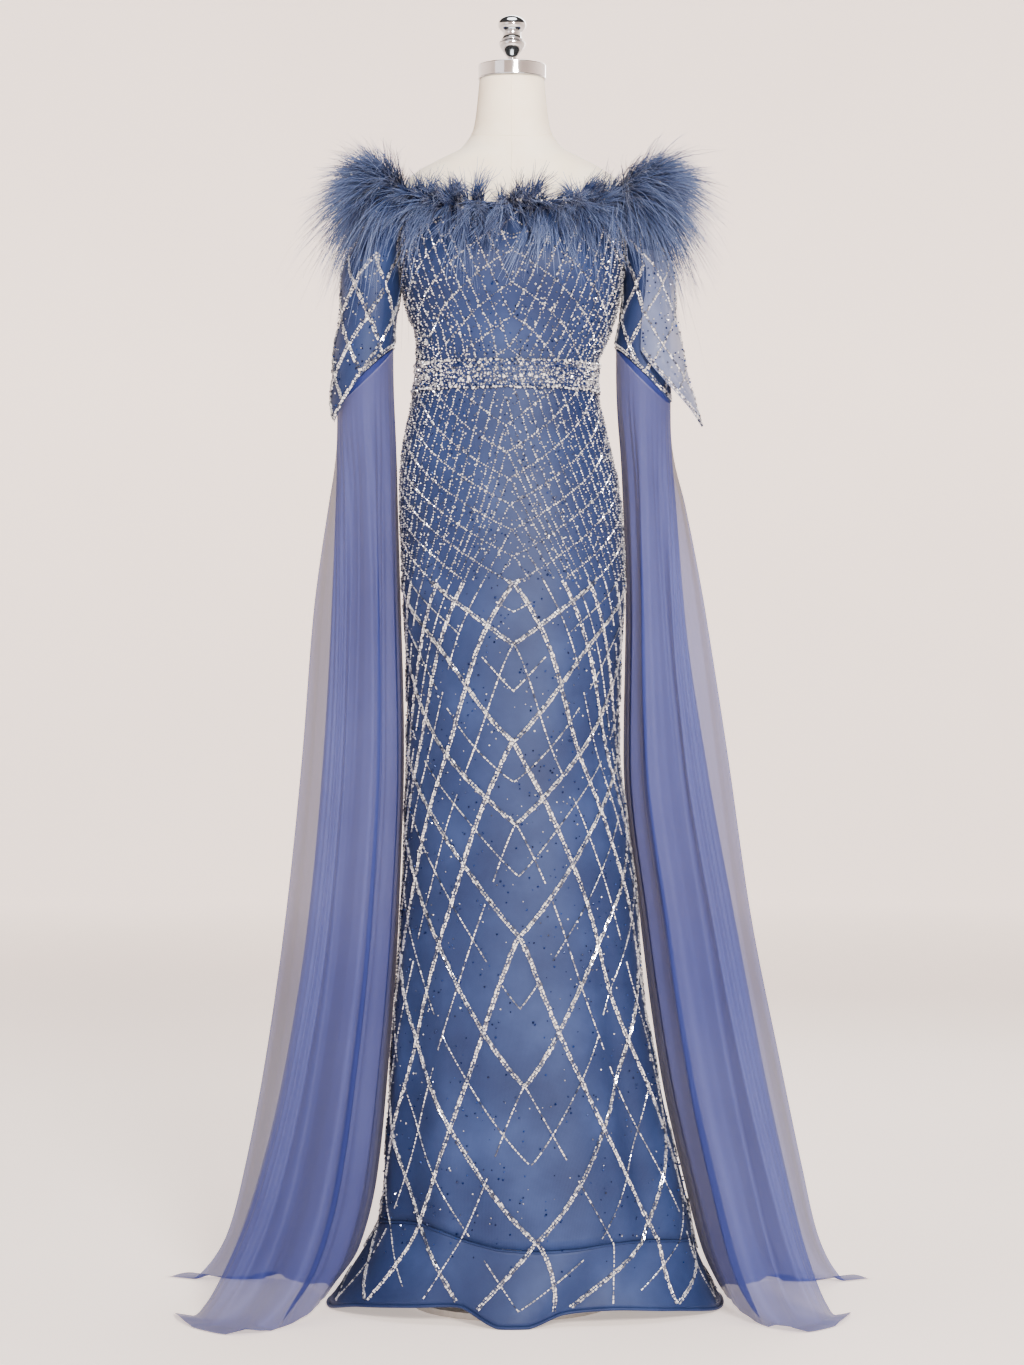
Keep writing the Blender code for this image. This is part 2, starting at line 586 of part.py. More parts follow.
def overlay_point(side, turn, share):
    """A point of the pointed overlay, outside the sleeve; share 1 is its lower edge."""
    size = SLEEVE_POINT[side]
    away = min(abs(turn - size["angle"]) / size["half_turn"], 1.0)
    low = size["tip_z"] + (size["side_z"] - size["tip_z"]) * away
    top = sleeve_point(side, turn, 0).z
    z = size["top"] + (low - size["top"]) * share
    stand = size["stand"] * (1 - away) * share ** 1.6
    gap = POINT_EDGE_GAP + (POINT_GAP - POINT_EDGE_GAP) * ease(share / 0.2)
    out = CLOTH_WALL + gap + stand + 0.002 * share
    return sleeve_point(side, turn, (top - z) / (top - sleeve_point(side, turn, 1).z), out)


def make_sleeve_points():
    for side, size in SLEEVE_POINT.items():
        turns = [size["angle"] + size["half_turn"] * (2 * i / POINT_CELLS - 1) for i in range(POINT_CELLS + 1)]
        shares = [1 - j / POINT_ROWS for j in range(POINT_ROWS + 1)]
        columns = [[overlay_point(side, turn, share) for share in shares] for turn in turns]
        cloth(f"sleeve_point_{side}", ordered(side, columns), CLOTH_WALL, "beaded_net")


def wing_down(t, share):
    """The distance down the cloth at a share of its length: the hem is shorter beside the body."""
    short = (WING_LENGTH - WING_INNER_LENGTH) * (1 - ease((abs(t) - 0.10) / 0.50))
    return share * (WING_LENGTH - short * share ** 4)


def wing_base(side, t, down):
    """A point of the smooth wing without its folds, on the +X side."""
    row = WING[side].at(down)
    s = abs(t)
    end = row.end_front if t < 0 else row.end_back
    outer = row.out_front if t < 0 else row.out_back
    round_share = (1 - cos(pi * s)) / 2
    straight = round_share if s <= 0.5 else 0.5 + (s - 0.5) * pi / 2
    straight /= 0.5 + pi / 4
    share = round_share + (straight - round_share) * end
    depth = row.front if t < 0 else row.back
    swell = sin(pi * s) if s <= 0.5 else end + (1 - end) * sin(pi * s)
    x = row.inner + (outer - row.inner) * share
    y = row.middle + depth * swell * (-1 if t < 0 else 1)
    return Vector((x, y, row.z))


def wing_point(side, t, down):
    """A point of the wing with its folds: t runs from the front free edge to the back one."""
    point = wing_base(side, t, down)
    lie = WING[side].at(down).lie
    step = 0.01
    along = wing_base(side, t + step, down) - wing_base(side, t - step, down)
    along.z = 0
    along.normalize()
    out = Vector((-along.y, along.x, 0))
    depth = lean = 0.0
    for fold in WING_FOLDS[side]:
        bump = hump(t - fold.at, fold.width)
        upper = ease(down / 0.45)
        lower = ease((down - 0.45) / 0.60)
        amount = fold.top + (fold.mid - fold.top) * upper + (fold.hem - fold.mid) * lower
        depth += amount * bump
        lean += fold.lean * bump * upper
    point += out * depth * (1 - 0.88 * lie) + along * lean * (1 - lie)
    point.z += max(depth, 0) * 0.40 * lie
    settle = ease(down / 0.14)
    turn = 180 * (1 - abs(t)) * (-1 if t < 0 else 1)
    edge = sleeve_point(side, turn, 1.0)
    edge = Vector((edge.x * SIDE[side], edge.y, edge.z - WING_DROP))
    hang = edge + Vector((0, 0, -down))
    point = Vector((
        hang.x + (point.x - hang.x) * settle,
        hang.y + (point.y - hang.y) * settle,
        hang.z + (point.z - hang.z) * ease(down / 0.30),
    ))
    return Vector((point.x * SIDE[side], point.y, point.z))


def wing_shares():
    """Shares of the cloth's length at its rows, closer together near the floor."""
    upper = [0.77 * j / (WING_ROWS - 5) for j in range(WING_ROWS - 4)]
    return upper + [0.845, 0.900, 0.932, 0.958, 1.0]


def make_wings():
    for side in SIDE:
        ts = [WING_EDGE_T * (2 * i / WING_CELLS - 1) for i in range(WING_CELLS + 1)]
        if side == "right":
            ts.reverse()
        downs = [[wing_down(t, share) for share in wing_shares()[::-1]] for t in ts]
        columns = [[wing_point(side, t, down) for down in row] for t, row in zip(ts, downs)]
        cloth(f"wing_{side}", columns, CHIFFON_WALL, "chiffon", floor_z=0.0, softened=2)


# Feather trim
def strip_angles(start, end):
    """Angles along the neckline ring at about one lock's pitch."""
    fine = [start + (end - start) * i / 60 for i in range(61)]
    points = [neckline_point(a) for a in fine]
    length = sum((points[i + 1] - points[i]).length for i in range(60))
    cells = max(4, round(length / TRIM_PITCH))
    return [start + (end - start) * i / cells for i in range(cells + 1)]


def lock_rings(corners, frame, lock, seed):
    """The rings and the tip of one feather lock grown from a face of the strip."""
    root, out, up, along = frame
    rise = lock.rise_low + (lock.rise_high - lock.rise_low) * scatter(seed, 1)
    splay = radians(lock.splay * (2 * scatter(seed, 2) - 1))
    length = lock.length * (1 + lock.vary * (2 * scatter(seed, 3) - 1))
    bends = (rise * 0.45, rise, max(rise - LOCK_DROOP, -84))
    centre = root
    rings = []
    for k, (bend, share) in enumerate(zip(bends, LOCK_SHARES)):
        ahead = out * cos(radians(bend)) + up * sin(radians(bend))
        across = up * cos(radians(bend)) - out * sin(radians(bend))
        direction = ahead * cos(splay) + along * sin(splay)
        centre = centre + direction * length * share
        if k == len(LOCK_SHARES) - 1:
            return rings, centre
        shrink = LOCK_TAPER[k]
        ring = []
        for corner in corners:
            offset = corner - root
            ring.append(centre + along * offset.dot(along) * shrink + across * offset.dot(up) * shrink)
        rings.append(ring)


def make_trim(name, start, end, kinds, seed):
    """A backing strip on the neckline ring with its locks on its outer face."""
    angles = strip_angles(start, end)
    vertices, faces = [], []
    half = TRIM_WIDTH / 2
    for angle in angles:
        for height, out in ((-half, TRIM_WALL), (0, TRIM_WALL), (half, TRIM_WALL), (half, 0), (-half, 0)):
            vertices.append(neckline_point(angle, height, TRIM_GAP + out))
    loop = 5
    for i in range(len(angles) - 1):
        for k in range(loop):
            a, b = i * loop + k, i * loop + (k + 1) % loop
            quad = (a, a + loop, b + loop, b)
            if k < 2 and (i + k) % 2 == 0 and 1 < i < len(angles) - 3:
                corners = [vertices[n] for n in quad]
                root = sum(corners, Vector()) / 4
                along = (corners[1] - corners[0]).normalized()
                up = (corners[3] - corners[0]).normalized()
                out = along.cross(up).normalized()
                lock = kinds[1 - k]
                rings, tip = lock_rings(corners, (root, out, up, along), lock, seed + 3 * i + k)
                previous = list(quad)
                for ring in rings:
                    first = len(vertices)
                    vertices.extend(ring)
                    current = [first, first + 1, first + 2, first + 3]
                    for n in range(4):
                        m = (n + 1) % 4
                        faces.append((previous[n], previous[m], current[m], current[n]))
                    previous = current
                vertices.append(tip)
                point = len(vertices) - 1
                for n in range(4):
                    faces.append((previous[n], previous[(n + 1) % 4], point))
            else:
                faces.append(quad)
    faces.append(tuple(range(loop)))
    last = (len(angles) - 1) * loop
    faces.append(tuple(last + k for k in reversed(range(loop))))
    return new_object(name, vertices, faces, "feather")


def make_trims():
    spare = 0.12  # degrees, half the gap between two strips
    make_trim("trim_front", -SHOULDER_FROM + spare, SHOULDER_FROM - spare, LOCKS["front"], 11)
    make_trim("trim_right", SHOULDER_FROM + spare, SHOULDER_TO - spare, LOCKS["shoulder"], 23)
    make_trim("trim_back", SHOULDER_TO + spare, 360 - SHOULDER_TO - spare, LOCKS["back"], 37)
    make_trim("trim_left", -SHOULDER_TO + spare, -SHOULDER_FROM - spare, LOCKS["shoulder"], 53)


def main():
    for thing in list(bpy.data.objects):
        bpy.data.objects.remove(thing, do_unlink=True)
    make_form()
    make_bodice()
    make_belt()
    make_skirt()
    make_flounce()
    make_sleeves()
    make_sleeve_points()
    make_wings()
    make_trims()


main()
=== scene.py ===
# %% [markdown]
# # An off-shoulder beaded dress on a dress form
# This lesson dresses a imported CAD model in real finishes: satin under beaded net, a band of silver
# beads, sheer chiffon wings and a feather trim, on a linen form with a chrome cap. Lengths are in
# metres, +X is the photograph's right and the front of the dress faces -Y.

# %% Start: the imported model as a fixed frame
from collections import namedtuple
from math import pi, radians

import bmesh
import bpy
import numpy as np
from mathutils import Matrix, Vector


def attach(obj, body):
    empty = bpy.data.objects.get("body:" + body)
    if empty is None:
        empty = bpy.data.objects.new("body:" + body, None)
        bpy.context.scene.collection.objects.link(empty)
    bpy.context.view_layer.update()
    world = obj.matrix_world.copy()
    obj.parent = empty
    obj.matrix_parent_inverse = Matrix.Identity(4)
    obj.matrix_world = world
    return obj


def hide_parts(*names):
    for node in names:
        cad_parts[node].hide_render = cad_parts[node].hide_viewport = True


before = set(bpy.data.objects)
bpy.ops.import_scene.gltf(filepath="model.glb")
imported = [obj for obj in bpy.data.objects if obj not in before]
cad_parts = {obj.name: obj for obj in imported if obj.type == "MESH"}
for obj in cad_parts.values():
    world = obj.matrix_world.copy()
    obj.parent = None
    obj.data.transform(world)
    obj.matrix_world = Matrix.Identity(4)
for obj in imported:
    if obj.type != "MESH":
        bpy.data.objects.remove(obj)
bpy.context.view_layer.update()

# %% [markdown]
# ## Camera, lights and backdrop
# A long lens far away keeps the tall figure straight: the lens stands level with the middle of the
# dress, 4.1 m away. The backdrop is a round floor of paper whose rim curves up into a wall, so every
# side of the dress has the same pale ground and no corner line. The lamps are wide discs, because
# beads and satin show a small hard lamp as sharp dots. The camera doesn't see the lamps themselves.

# %% Camera, lights and round backdrop
CAMERA_DISTANCE, CAMERA_HEIGHT, LENS_MM, SENSOR_MM = 4.10, 0.775, 86.5, 36.0
WORLD_COLOUR, WORLD_STRENGTH = "#F1ECE8", 0.10
BOWL_RADIUS, BOWL_BEND, BOWL_HEIGHT = 9.5, 2.0, 5.5


def linear(code):
    """A colour written as sRGB hex, as the linear numbers that shaders take."""
    parts = [int(code[k:k + 2], 16) / 255 for k in (1, 3, 5)]
    return tuple(p / 12.92 if p <= 0.04045 else ((p + 0.055) / 1.055) ** 2.4 for p in parts)


def place(thing):
    """Links a new object into the scene."""
    bpy.context.scene.collection.objects.link(thing)
    return thing


camera = place(bpy.data.objects.new("camera", bpy.data.cameras.new("camera")))
camera.location = (0.0, -CAMERA_DISTANCE, CAMERA_HEIGHT)
camera.rotation_euler = (radians(90), 0, 0)
camera.data.lens, camera.data.sensor_width = LENS_MM, SENSOR_MM
bpy.context.scene.camera = camera
bpy.context.scene.view_settings.look = "AgX - Medium High Contrast"


def soft_lamp(name, at, aim, size, watts, colour):
    """A round area lamp that looks from one place at another."""
    lamp = bpy.data.lights.new(name, "AREA")
    lamp.shape = "DISK"
    lamp.size, lamp.energy, lamp.color = size, watts, linear(colour)
    thing = place(bpy.data.objects.new(name, lamp))
    thing.location = at
    thing.visible_camera = False
    thing.rotation_euler = (Vector(aim) - Vector(at)).to_track_quat("-Z", "Y").to_euler()


soft_lamp("key_lamp", (1.0, -4.4, 2.2), (0, 0, 0.9), 1.0, 285, "#FFF8F0")
soft_lamp("fill_lamp", (-2.6, -2.8, 1.7), (0, 0, 0.8), 2.2, 10, "#F4F6FF")
soft_lamp("top_lamp", (0.0, -0.4, 3.6), (0, 0, 0.9), 2.0, 34, "#FFFFFF")
soft_lamp("back_lamp", (0.6, 2.6, 2.6), (0, 0, 0.9), 1.8, 40, "#FFFFFF")

world = bpy.data.worlds.new("studio")
bpy.context.scene.world = world
world.use_nodes = True
background = world.node_tree.nodes["Background"]
background.inputs["Color"].default_value = (*linear(WORLD_COLOUR), 1)
background.inputs["Strength"].default_value = WORLD_STRENGTH


def bowl(name, radius, bend, height, sides=96):
    """A round floor whose rim curves up into a wall."""
    line = [(0.0, 0.0), (radius - bend, 0.0)]
    line += [(radius - bend + bend * np.sin(a), bend * (1 - np.cos(a))) for a in np.linspace(0.1, pi / 2, 14)]
    line.append((radius, height))
    turn = np.linspace(0, 2 * pi, sides, endpoint=False)
    verts = [(r * np.cos(t), r * np.sin(t), z) for r, z in line for t in turn]
    faces = []
    for i in range(len(line) - 1):
        for j in range(sides):
            here, after = i * sides, (j + 1) % sides
            faces.append((here + j, here + after, here + sides + after, here + sides + j))
    mesh = bpy.data.meshes.new(name)
    mesh.from_pydata(verts, [], faces)
    mesh.shade_smooth()
    thing = place(bpy.data.objects.new(name, mesh))
    return thing


backdrop = bowl("backdrop", BOWL_RADIUS, BOWL_BEND, BOWL_HEIGHT)
print("camera,", len(bpy.data.lights), "lamps and a backdrop of", len(backdrop.data.polygons), "faces")

# %% [markdown]
# ## A short way to write node trees
# Every finish below is a small tree of shader nodes. One function adds a node, sets its values and
# links its inputs, so that a tree reads as a list of steps from the cloth's place to its colour.

# %% Node helper and the backdrop's paper
def feed(node, links):
    """Gives a node's inputs their values; a node given as a value stands for its first live output."""
    for key, value in links.items():
        named = [s for s in node.inputs if s.name == key and s.enabled]
        socket = named[0] if named else node.inputs[key]
        if isinstance(value, bpy.types.Node):
            value = next(s for s in value.outputs if s.enabled)
        if isinstance(value, bpy.types.NodeSocket):
            node.id_data.links.new(value, socket)
        elif socket.type == "RGBA":
            socket.default_value = (*linear(value), 1.0)
        else:
            socket.default_value = value


def add(tree, kind, links=None, stops=(), **settings):
    """Adds a node with its settings, the stops of its colour ramp, and its links."""
    node = tree.nodes.new(kind)
    for key, value in settings.items():
        setattr(node, key, value)
    if stops:
        colours = node.color_ramp.elements
        while len(colours) < len(stops):
            colours.new(0.5)
        for colour, (at, code) in zip(colours, stops):
            colour.position, colour.color = at, (*linear(code), 1.0)
    feed(node, links or {})
    return node


def finish(name, values):
    """A material with one Principled shader; returns it, its tree and its shader."""
    material = bpy.data.materials.new(name)
    material.use_nodes = True
    shader = material.node_tree.nodes["Principled BSDF"]
    feed(shader, values)
    return material, material.node_tree, shader


COORDINATES, RAMP, NOISE = "ShaderNodeTexCoord", "ShaderNodeValToRGB", "ShaderNodeTexNoise"
WAVE, CELLS, BUMP = "ShaderNodeTexWave", "ShaderNodeTexVoronoi", "ShaderNodeBump"
RANGE, MIX = "ShaderNodeMapRange", "ShaderNodeMix"
SPLIT, COMBINE = "ShaderNodeSeparateXYZ", "ShaderNodeCombineXYZ"
MATH, VECTOR_MATH = "ShaderNodeMath", "ShaderNodeVectorMath"

# Matt studio paper, evenly pale. It glows a little, more towards the far wall: painted light, an
# emission that stands in for lamps lighting the wall, so the wall is as bright as the floor.
paper, tree, shader = finish("glowing_backdrop_paper", {"Roughness": 0.9, "Emission Color": "#FFF0E6"})
coordinates = add(tree, COORDINATES)
grain = add(tree, NOISE, {"Vector": coordinates.outputs["Object"], "Scale": 1.2})
depth = add(tree, SPLIT, {"Vector": coordinates.outputs["Object"]}).outputs["Y"]
# Painted light: the paper's glow, rising towards the far wall.
glow = add(tree, RANGE, {"Value": depth, "From Min": -6.0, "From Max": 8.0, "To Min": 0.20, "To Max": 0.92})
tone = add(tree, RAMP, {"Fac": grain}, [(0.3, "#F2E7E1"), (0.7, "#F6ECE6")])
feed(shader, {"Emission Strength": glow, "Base Color": tone})
backdrop.data.materials.append(paper)
print("backdrop paper", len(tree.nodes), "nodes")

# %% [markdown]
# ## The figure, read from sections
# The CAD model is made from tables of sections, and the visible cloth is made from the same tables,
# only on much finer grids. So each piece lies on its solid, and a bead can be put at an angle round
# the body and a height above the floor. Everything works on whole arrays of points at once.

# %% Sections and the dressed figure
SQUARENESS = 0.89
BUST_ANGLE, BUST_Z, BUST_RISE, BUST_SPREAD, BUST_HEIGHT = 36.0, 1.283, 0.012, 24.0, 0.040
WAIST_Z, BELT_LOW_Z, BELT_TOP_Z, UNDERARM_Z = 1.1535, 1.1372, 1.1706, 1.331
CLOTH_WALL, EASE_GAP, SEAM_GAP = 0.0015, 0.0009, 0.0003


class Sections:
    """Rows of named columns, read between the rows along a curve that never overshoots."""

    def __init__(self, columns, rows):
        self.row = namedtuple("Row", columns)
        self.data = np.array(sorted(rows), float)
        self.at_rows = self.data[:, 0]
        rate = np.diff(self.data, axis=0) / np.diff(self.at_rows)[:, None]
        self.slope = np.zeros_like(self.data)
        self.slope[0], self.slope[-1] = rate[0], rate[-1]
        a, b = rate[:-1], rate[1:]
        same = a * b > 0
        self.slope[1:-1][same] = 2 * a[same] * b[same] / (a[same] + b[same])

    def at(self, place):
        place = np.clip(np.asarray(place, float), self.at_rows[0], self.at_rows[-1])
        i = np.clip(np.searchsorted(self.at_rows, place, "right") - 1, 0, len(self.at_rows) - 2)
        step = (self.at_rows[i + 1] - self.at_rows[i])[..., None]
        u = (place - self.at_rows[i])[..., None] / step
        p, q, r, s = self.data[i], self.data[i + 1], self.slope[i] * step, self.slope[i + 1] * step
        value = p * (1 + 2 * u) * (1 - u) ** 2 + r * u * (1 - u) ** 2
        value = value + q * u * u * (3 - 2 * u) + s * u * u * (u - 1)
        return self.row(*np.moveaxis(value, -1, 0))


FIGURE = Sections("z mid half front back", [
    (0.060, 0.0300, 0.2010, 0.158, 0.190), (0.106, 0.0290, 0.1940, 0.155, 0.182),
    (0.272, 0.0160, 0.1690, 0.144, 0.157), (0.418, 0.0090, 0.1520, 0.137, 0.139),
    (0.508, 0.0090, 0.1460, 0.133, 0.131), (0.597, 0.0050, 0.1390, 0.129, 0.124),
    (0.703, 0.0010, 0.1320, 0.125, 0.119), (0.811, 0.0020, 0.1335, 0.121, 0.117),
    (0.899, 0.0020, 0.1385, 0.117, 0.116), (0.980, -0.0010, 0.1380, 0.110, 0.111),
    (1.028, -0.0040, 0.1350, 0.104, 0.104), (1.078, -0.0075, 0.1265, 0.095, 0.092),
    (1.130, -0.0080, 0.1155, 0.086, 0.081), (1.155, -0.0070, 0.1110, 0.083, 0.078),
    (1.176, -0.0055, 0.1130, 0.084, 0.079), (1.216, 0.0010, 0.1225, 0.090, 0.083),
    (1.233, 0.0000, 0.1290, 0.094, 0.086), (1.265, 0.0000, 0.1360, 0.101, 0.092),
    (1.297, 0.0000, 0.1395, 0.104, 0.096), (1.325, 0.0000, 0.1405, 0.099, 0.098),
    (1.355, 0.0000, 0.1415, 0.092, 0.097), (1.380, 0.0000, 0.1420, 0.085, 0.094),
    (1.398, 0.0000, 0.1360, 0.079, 0.089), (1.412, 0.0000, 0.1200, 0.073, 0.083),
    (1.427, 0.0000, 0.0920, 0.067, 0.072), (1.441, 0.0000, 0.0660, 0.060, 0.062),
    (1.468, 0.0000, 0.0505, 0.052, 0.053), (1.528, 0.0000, 0.0433, 0.045, 0.045),
])


def ease(u):
    u = np.clip(u, 0.0, 1.0)
    return u * u * (3 - 2 * u)


def power(value, exponent):
    return np.sign(value) * np.abs(value) ** exponent


def hump(distance, width):
    return np.exp(-((distance / width) ** 2))


def turn_between(a, b):
    """The angle from b to a, in degrees, from -180 to 180."""
    return (a - b + 180) % 360 - 180


def unit(v):
    return v / np.maximum(np.linalg.norm(v, axis=-1, keepdims=True), 1e-12)


def figure_raw(angle, z):
    """Points of the dressed figure; the angle is from the centre front towards +X, in degrees."""
    angle, z = np.broadcast_arrays(np.asarray(angle, float), np.asarray(z, float))
    row = FIGURE.at(z)
    s, c = np.sin(np.radians(angle)), np.cos(np.radians(angle))
    y = -np.where(c > 0, row.front, row.back) * power(c, SQUARENESS)
    for bust in (-BUST_ANGLE, BUST_ANGLE):
        y = y - BUST_RISE * hump(turn_between(angle, bust), BUST_SPREAD) * hump(z - BUST_Z, BUST_HEIGHT)
    return np.stack([row.mid + row.half * power(s, SQUARENESS), y, z], -1)


ANGLE_STEP, HEIGHT_STEP = 1.5, 0.004  # how far apart points lie when a slope is measured


def figure_around(angle, z):
    return figure_raw(angle + ANGLE_STEP, z) - figure_raw(angle - ANGLE_STEP, z)


def figure_normal(angle, z):
    up = figure_raw(angle, z + HEIGHT_STEP) - figure_raw(angle, z - HEIGHT_STEP)
    return unit(np.cross(figure_around(angle, z), up))


def figure(angle, z, out=0.0):
    """Points that stand off the figure along its normal."""
    return figure_raw(angle, z) + figure_normal(angle, z) * np.asarray(out, float)[..., None]


def figure_level(angle, z, out=0.0):
    """Points that stand off the figure level with the floor."""
    around = figure_around(angle, z)
    level = unit(np.stack([around[..., 1], -around[..., 0], 0 * around[..., 0]], -1))
    return figure_raw(angle, z) + level * np.asarray(out, float)[..., None]


print("waist", figure(np.array([-90.0, 90.0]), WAIST_Z)[:, 0].round(4))

# %% [markdown]
# ## Cloth from grids
# A cloth piece is a grid of points: columns go round the body, rows go along it. The same function
# gives every piece its faces, and a UV map in real metres, measured along the cloth itself, so a
# weave keeps its true size however the cloth is folded. A Solidify modifier then gives satin its wall.

# %% Grid to cloth
PANELS = {"front": 0, "back": 180}  # each half of the gown by the angle of its middle
PANEL_CELLS, PANEL_GAP = 80, 0.1  # the gap, in degrees, keeps two halves apart at the side seam
SATIN_WALL, SLEEVE_WALL, BAND_WALL = 0.0010, 0.0009, 0.0008


def object_of(name, verts, faces, material):
    mesh = bpy.data.meshes.new(name)
    mesh.from_pydata(np.asarray(verts, float).reshape(-1, 3).tolist(), [], [tuple(f) for f in faces])
    mesh.shade_smooth()
    mesh.materials.append(material)
    return place(bpy.data.objects.new(name, mesh))


def grid_faces(across, along, closed=False):
    i, j = np.meshgrid(np.arange(across if closed else across - 1), np.arange(along - 1), indexing="ij")
    a, b = i * along + j, ((i + 1) % across) * along + j
    return np.stack([a, b, b + 1, a + 1], -1).reshape(-1, 4)


def cloth(name, grid, material, closed=False, wall=0.0):
    """A cloth piece whose UV map is in metres; a wall is put on its inner side."""
    across, along = grid.shape[:2]
    thing = object_of(name, grid, grid_faces(across, along, closed), material)
    ring = np.concatenate([grid, grid[:1]]) if closed else grid
    u = np.concatenate([[0], np.linalg.norm(np.diff(ring, axis=0), axis=-1).mean(axis=1).cumsum()])
    v = np.concatenate([[0], np.linalg.norm(np.diff(grid, axis=1), axis=-1).mean(axis=0).cumsum()])
    layer = thing.data.uv_layers.new(name="cloth")
    i, j = np.meshgrid(np.arange(len(u) - 1), np.arange(along - 1), indexing="ij")
    uv = np.stack([np.stack([u[i + a], v[j + b]], -1) for a, b in ((0, 0), (1, 0), (1, 1), (0, 1))], 2)
    layer.data.foreach_set("uv", uv.reshape(-1))
    if wall:
        solid = thing.modifiers.new("wall", "SOLIDIFY")
        solid.thickness, solid.offset, solid.use_quality_normals = wall, -1, True
    return thing


def settle(thing, slot, *nodes):
    """Puts a piece on the one body, in place of CAD nodes; its slot is not used."""
    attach(thing, "root")
    if nodes:
        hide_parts(*nodes)


def declare(thing, slot, held, grid, *nodes, rests_on):
    """Settles a sheet; its grid is not used."""
    settle(thing, slot, *nodes)


def panel(centre, cells=PANEL_CELLS):
    """The angles across one half of the gown, as a column of a grid."""
    angles = np.linspace(centre - 90, centre + 90, cells + 1)
    angles[0] += PANEL_GAP
    angles[-1] -= PANEL_GAP
    return angles[:, None]


def mend(thing, *steps):
    """Runs mesh operations on a piece, each a function of the mesh."""
    mesh = bmesh.new()
    mesh.from_mesh(thing.data)
    for step in steps:
        step(mesh)
    mesh.to_mesh(thing.data)
    mesh.free()


print("cloth from grids,", len(panel(0)), "columns to a panel")

# %% [markdown]
# ## Satin under net
# The dress is a smooth blue satin with a fine net over it that carries the beads. The net is far
# smaller than a pixel from the camera, yet it dulls the satin. So one material does both: a slightly
# uneven blue, a cell pattern at the net's real 1.4 mm pitch for the thread's paler colour and for
# bump, and a trace of sheen for the light that the net catches at the sides.

# %% Satin and net material
NET_PITCH = 0.0014
NET_THREAD = 0.10  # how far from a cell's edge the thread reaches, as a share of a cell
NET_SHOW = 0.22  # how much of the thread's own colour is seen

# Polyester satin, woven smooth, under nylon beading net: a broad, soft highlight that follows the
# folds, and a blue that looks a little dusty because the net scatters light.
satin, tree, shader = finish("satin_under_net", {
    "Roughness": 0.55, "Sheen Weight": 0.04, "Sheen Roughness": 0.45, "Sheen Tint": "#9DB2DE",
    "Specular IOR Level": 0.32, "Anisotropic": 0.25})
coordinates = add(tree, COORDINATES)
shade = add(tree, NOISE, {
    "Vector": coordinates.outputs["Object"], "Scale": 9.0, "Detail": 4.0, "Roughness": 0.55})
blue = add(tree, RAMP, {"Fac": shade}, [(0.30, "#212D52"), (0.52, "#2B3A62"), (0.74, "#3B4C78")])
holes = add(tree, CELLS, {
    "Vector": coordinates.outputs["UV"], "Scale": 1 / NET_PITCH, "Randomness": 0.15}, feature="DISTANCE_TO_EDGE")
thread = add(tree, MATH, {0: holes, 1: NET_THREAD}, operation="LESS_THAN")
share = add(tree, MATH, {0: thread, 1: NET_SHOW}, operation="MULTIPLY")
mixed = add(tree, MIX, {"Factor": share, "A": blue, "B": "#50608C"}, data_type="RGBA")
relief = add(tree, BUMP, {"Height": holes, "Distance": 0.0002, "Strength": 0.35})
feed(shader, {"Base Color": mixed, "Normal": relief})
print("satin under net", len(tree.nodes), "nodes")

# %% [markdown]
# ## The dress form
# The form is a padded torso covered with cream linen, cut with a seam down the centre front and one
# round the foot of the neck. Most of it is under the dress, so only the neck and the shoulders are
# fine. The metal cap and knob are turned pieces: a profile is swept round the axis, with a small
# round at each edge, because a sharp edge on polished metal never catches the light as a real one does.

# %% Linen, chrome and painted steel
LINEN_PITCH = 0.0011

# Linen in a plain weave: matt, with a faint thread relief and slight changes of tone.
linen, tree, shader = finish("cream_linen", {"Roughness": 0.88, "Sheen Weight": 0.15, "Specular IOR Level": 0.3})
coordinates = add(tree, COORDINATES)
yarns = {
    "Vector": coordinates.outputs["UV"], "Scale": 1 / LINEN_PITCH / (2 * pi), "Distortion": 1.2, "Detail": 2.0}
warp, weft = [add(tree, WAVE, yarns, bands_direction=way).outputs["Fac"] for way in ("X", "Y")]
weave = add(tree, MATH, {0: warp, 1: weft}, operation="MULTIPLY")
patch = add(tree, NOISE, {"Vector": coordinates.outputs["Object"], "Scale": 22.0, "Detail": 5.0})
tone = add(tree, RAMP, {"Fac": patch}, [(0.35, "#FBEFDC"), (0.65, "#FFF6E6")])
relief = add(tree, BUMP, {"Height": weave, "Distance": 0.0003, "Strength": 0.5})
feed(shader, {"Base Color": tone, "Normal": relief})

# Chromed brass, polished: a mirror with faint smears, so its roughness wanders.
chrome, tree, shader = finish("polished_chrome", {"Base Color": "#D9DBDE", "Metallic": 1.0})
smear = add(tree, NOISE, {"Vector": add(tree, COORDINATES).outputs["Object"], "Scale": 60.0, "Detail": 3.0})
feed(shader, {"Roughness": add(tree, RANGE, {"Value": smear, "To Min": 0.06, "To Max": 0.16})})

# Steel with white stove paint: half gloss, with the fine orange peel of sprayed paint.
painted, tree, shader = finish("white_painted_steel", {"Roughness": 0.38})
peel = add(tree, NOISE, {"Vector": add(tree, COORDINATES).outputs["Object"], "Scale": 180.0, "Detail": 3.0})
tone = add(tree, RAMP, {"Fac": peel}, [(0.3, "#E1DED7"), (0.7, "#EAE8E2")])
relief = add(tree, BUMP, {"Height": peel, "Distance": 0.0002, "Strength": 0.25})
feed(shader, {"Base Color": tone, "Normal": relief})
for node in ("form_pole", "form_base"):
    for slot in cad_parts[node].material_slots:
        slot.material = painted
print("linen, chrome and painted steel:", len(bpy.data.materials), "materials so far")

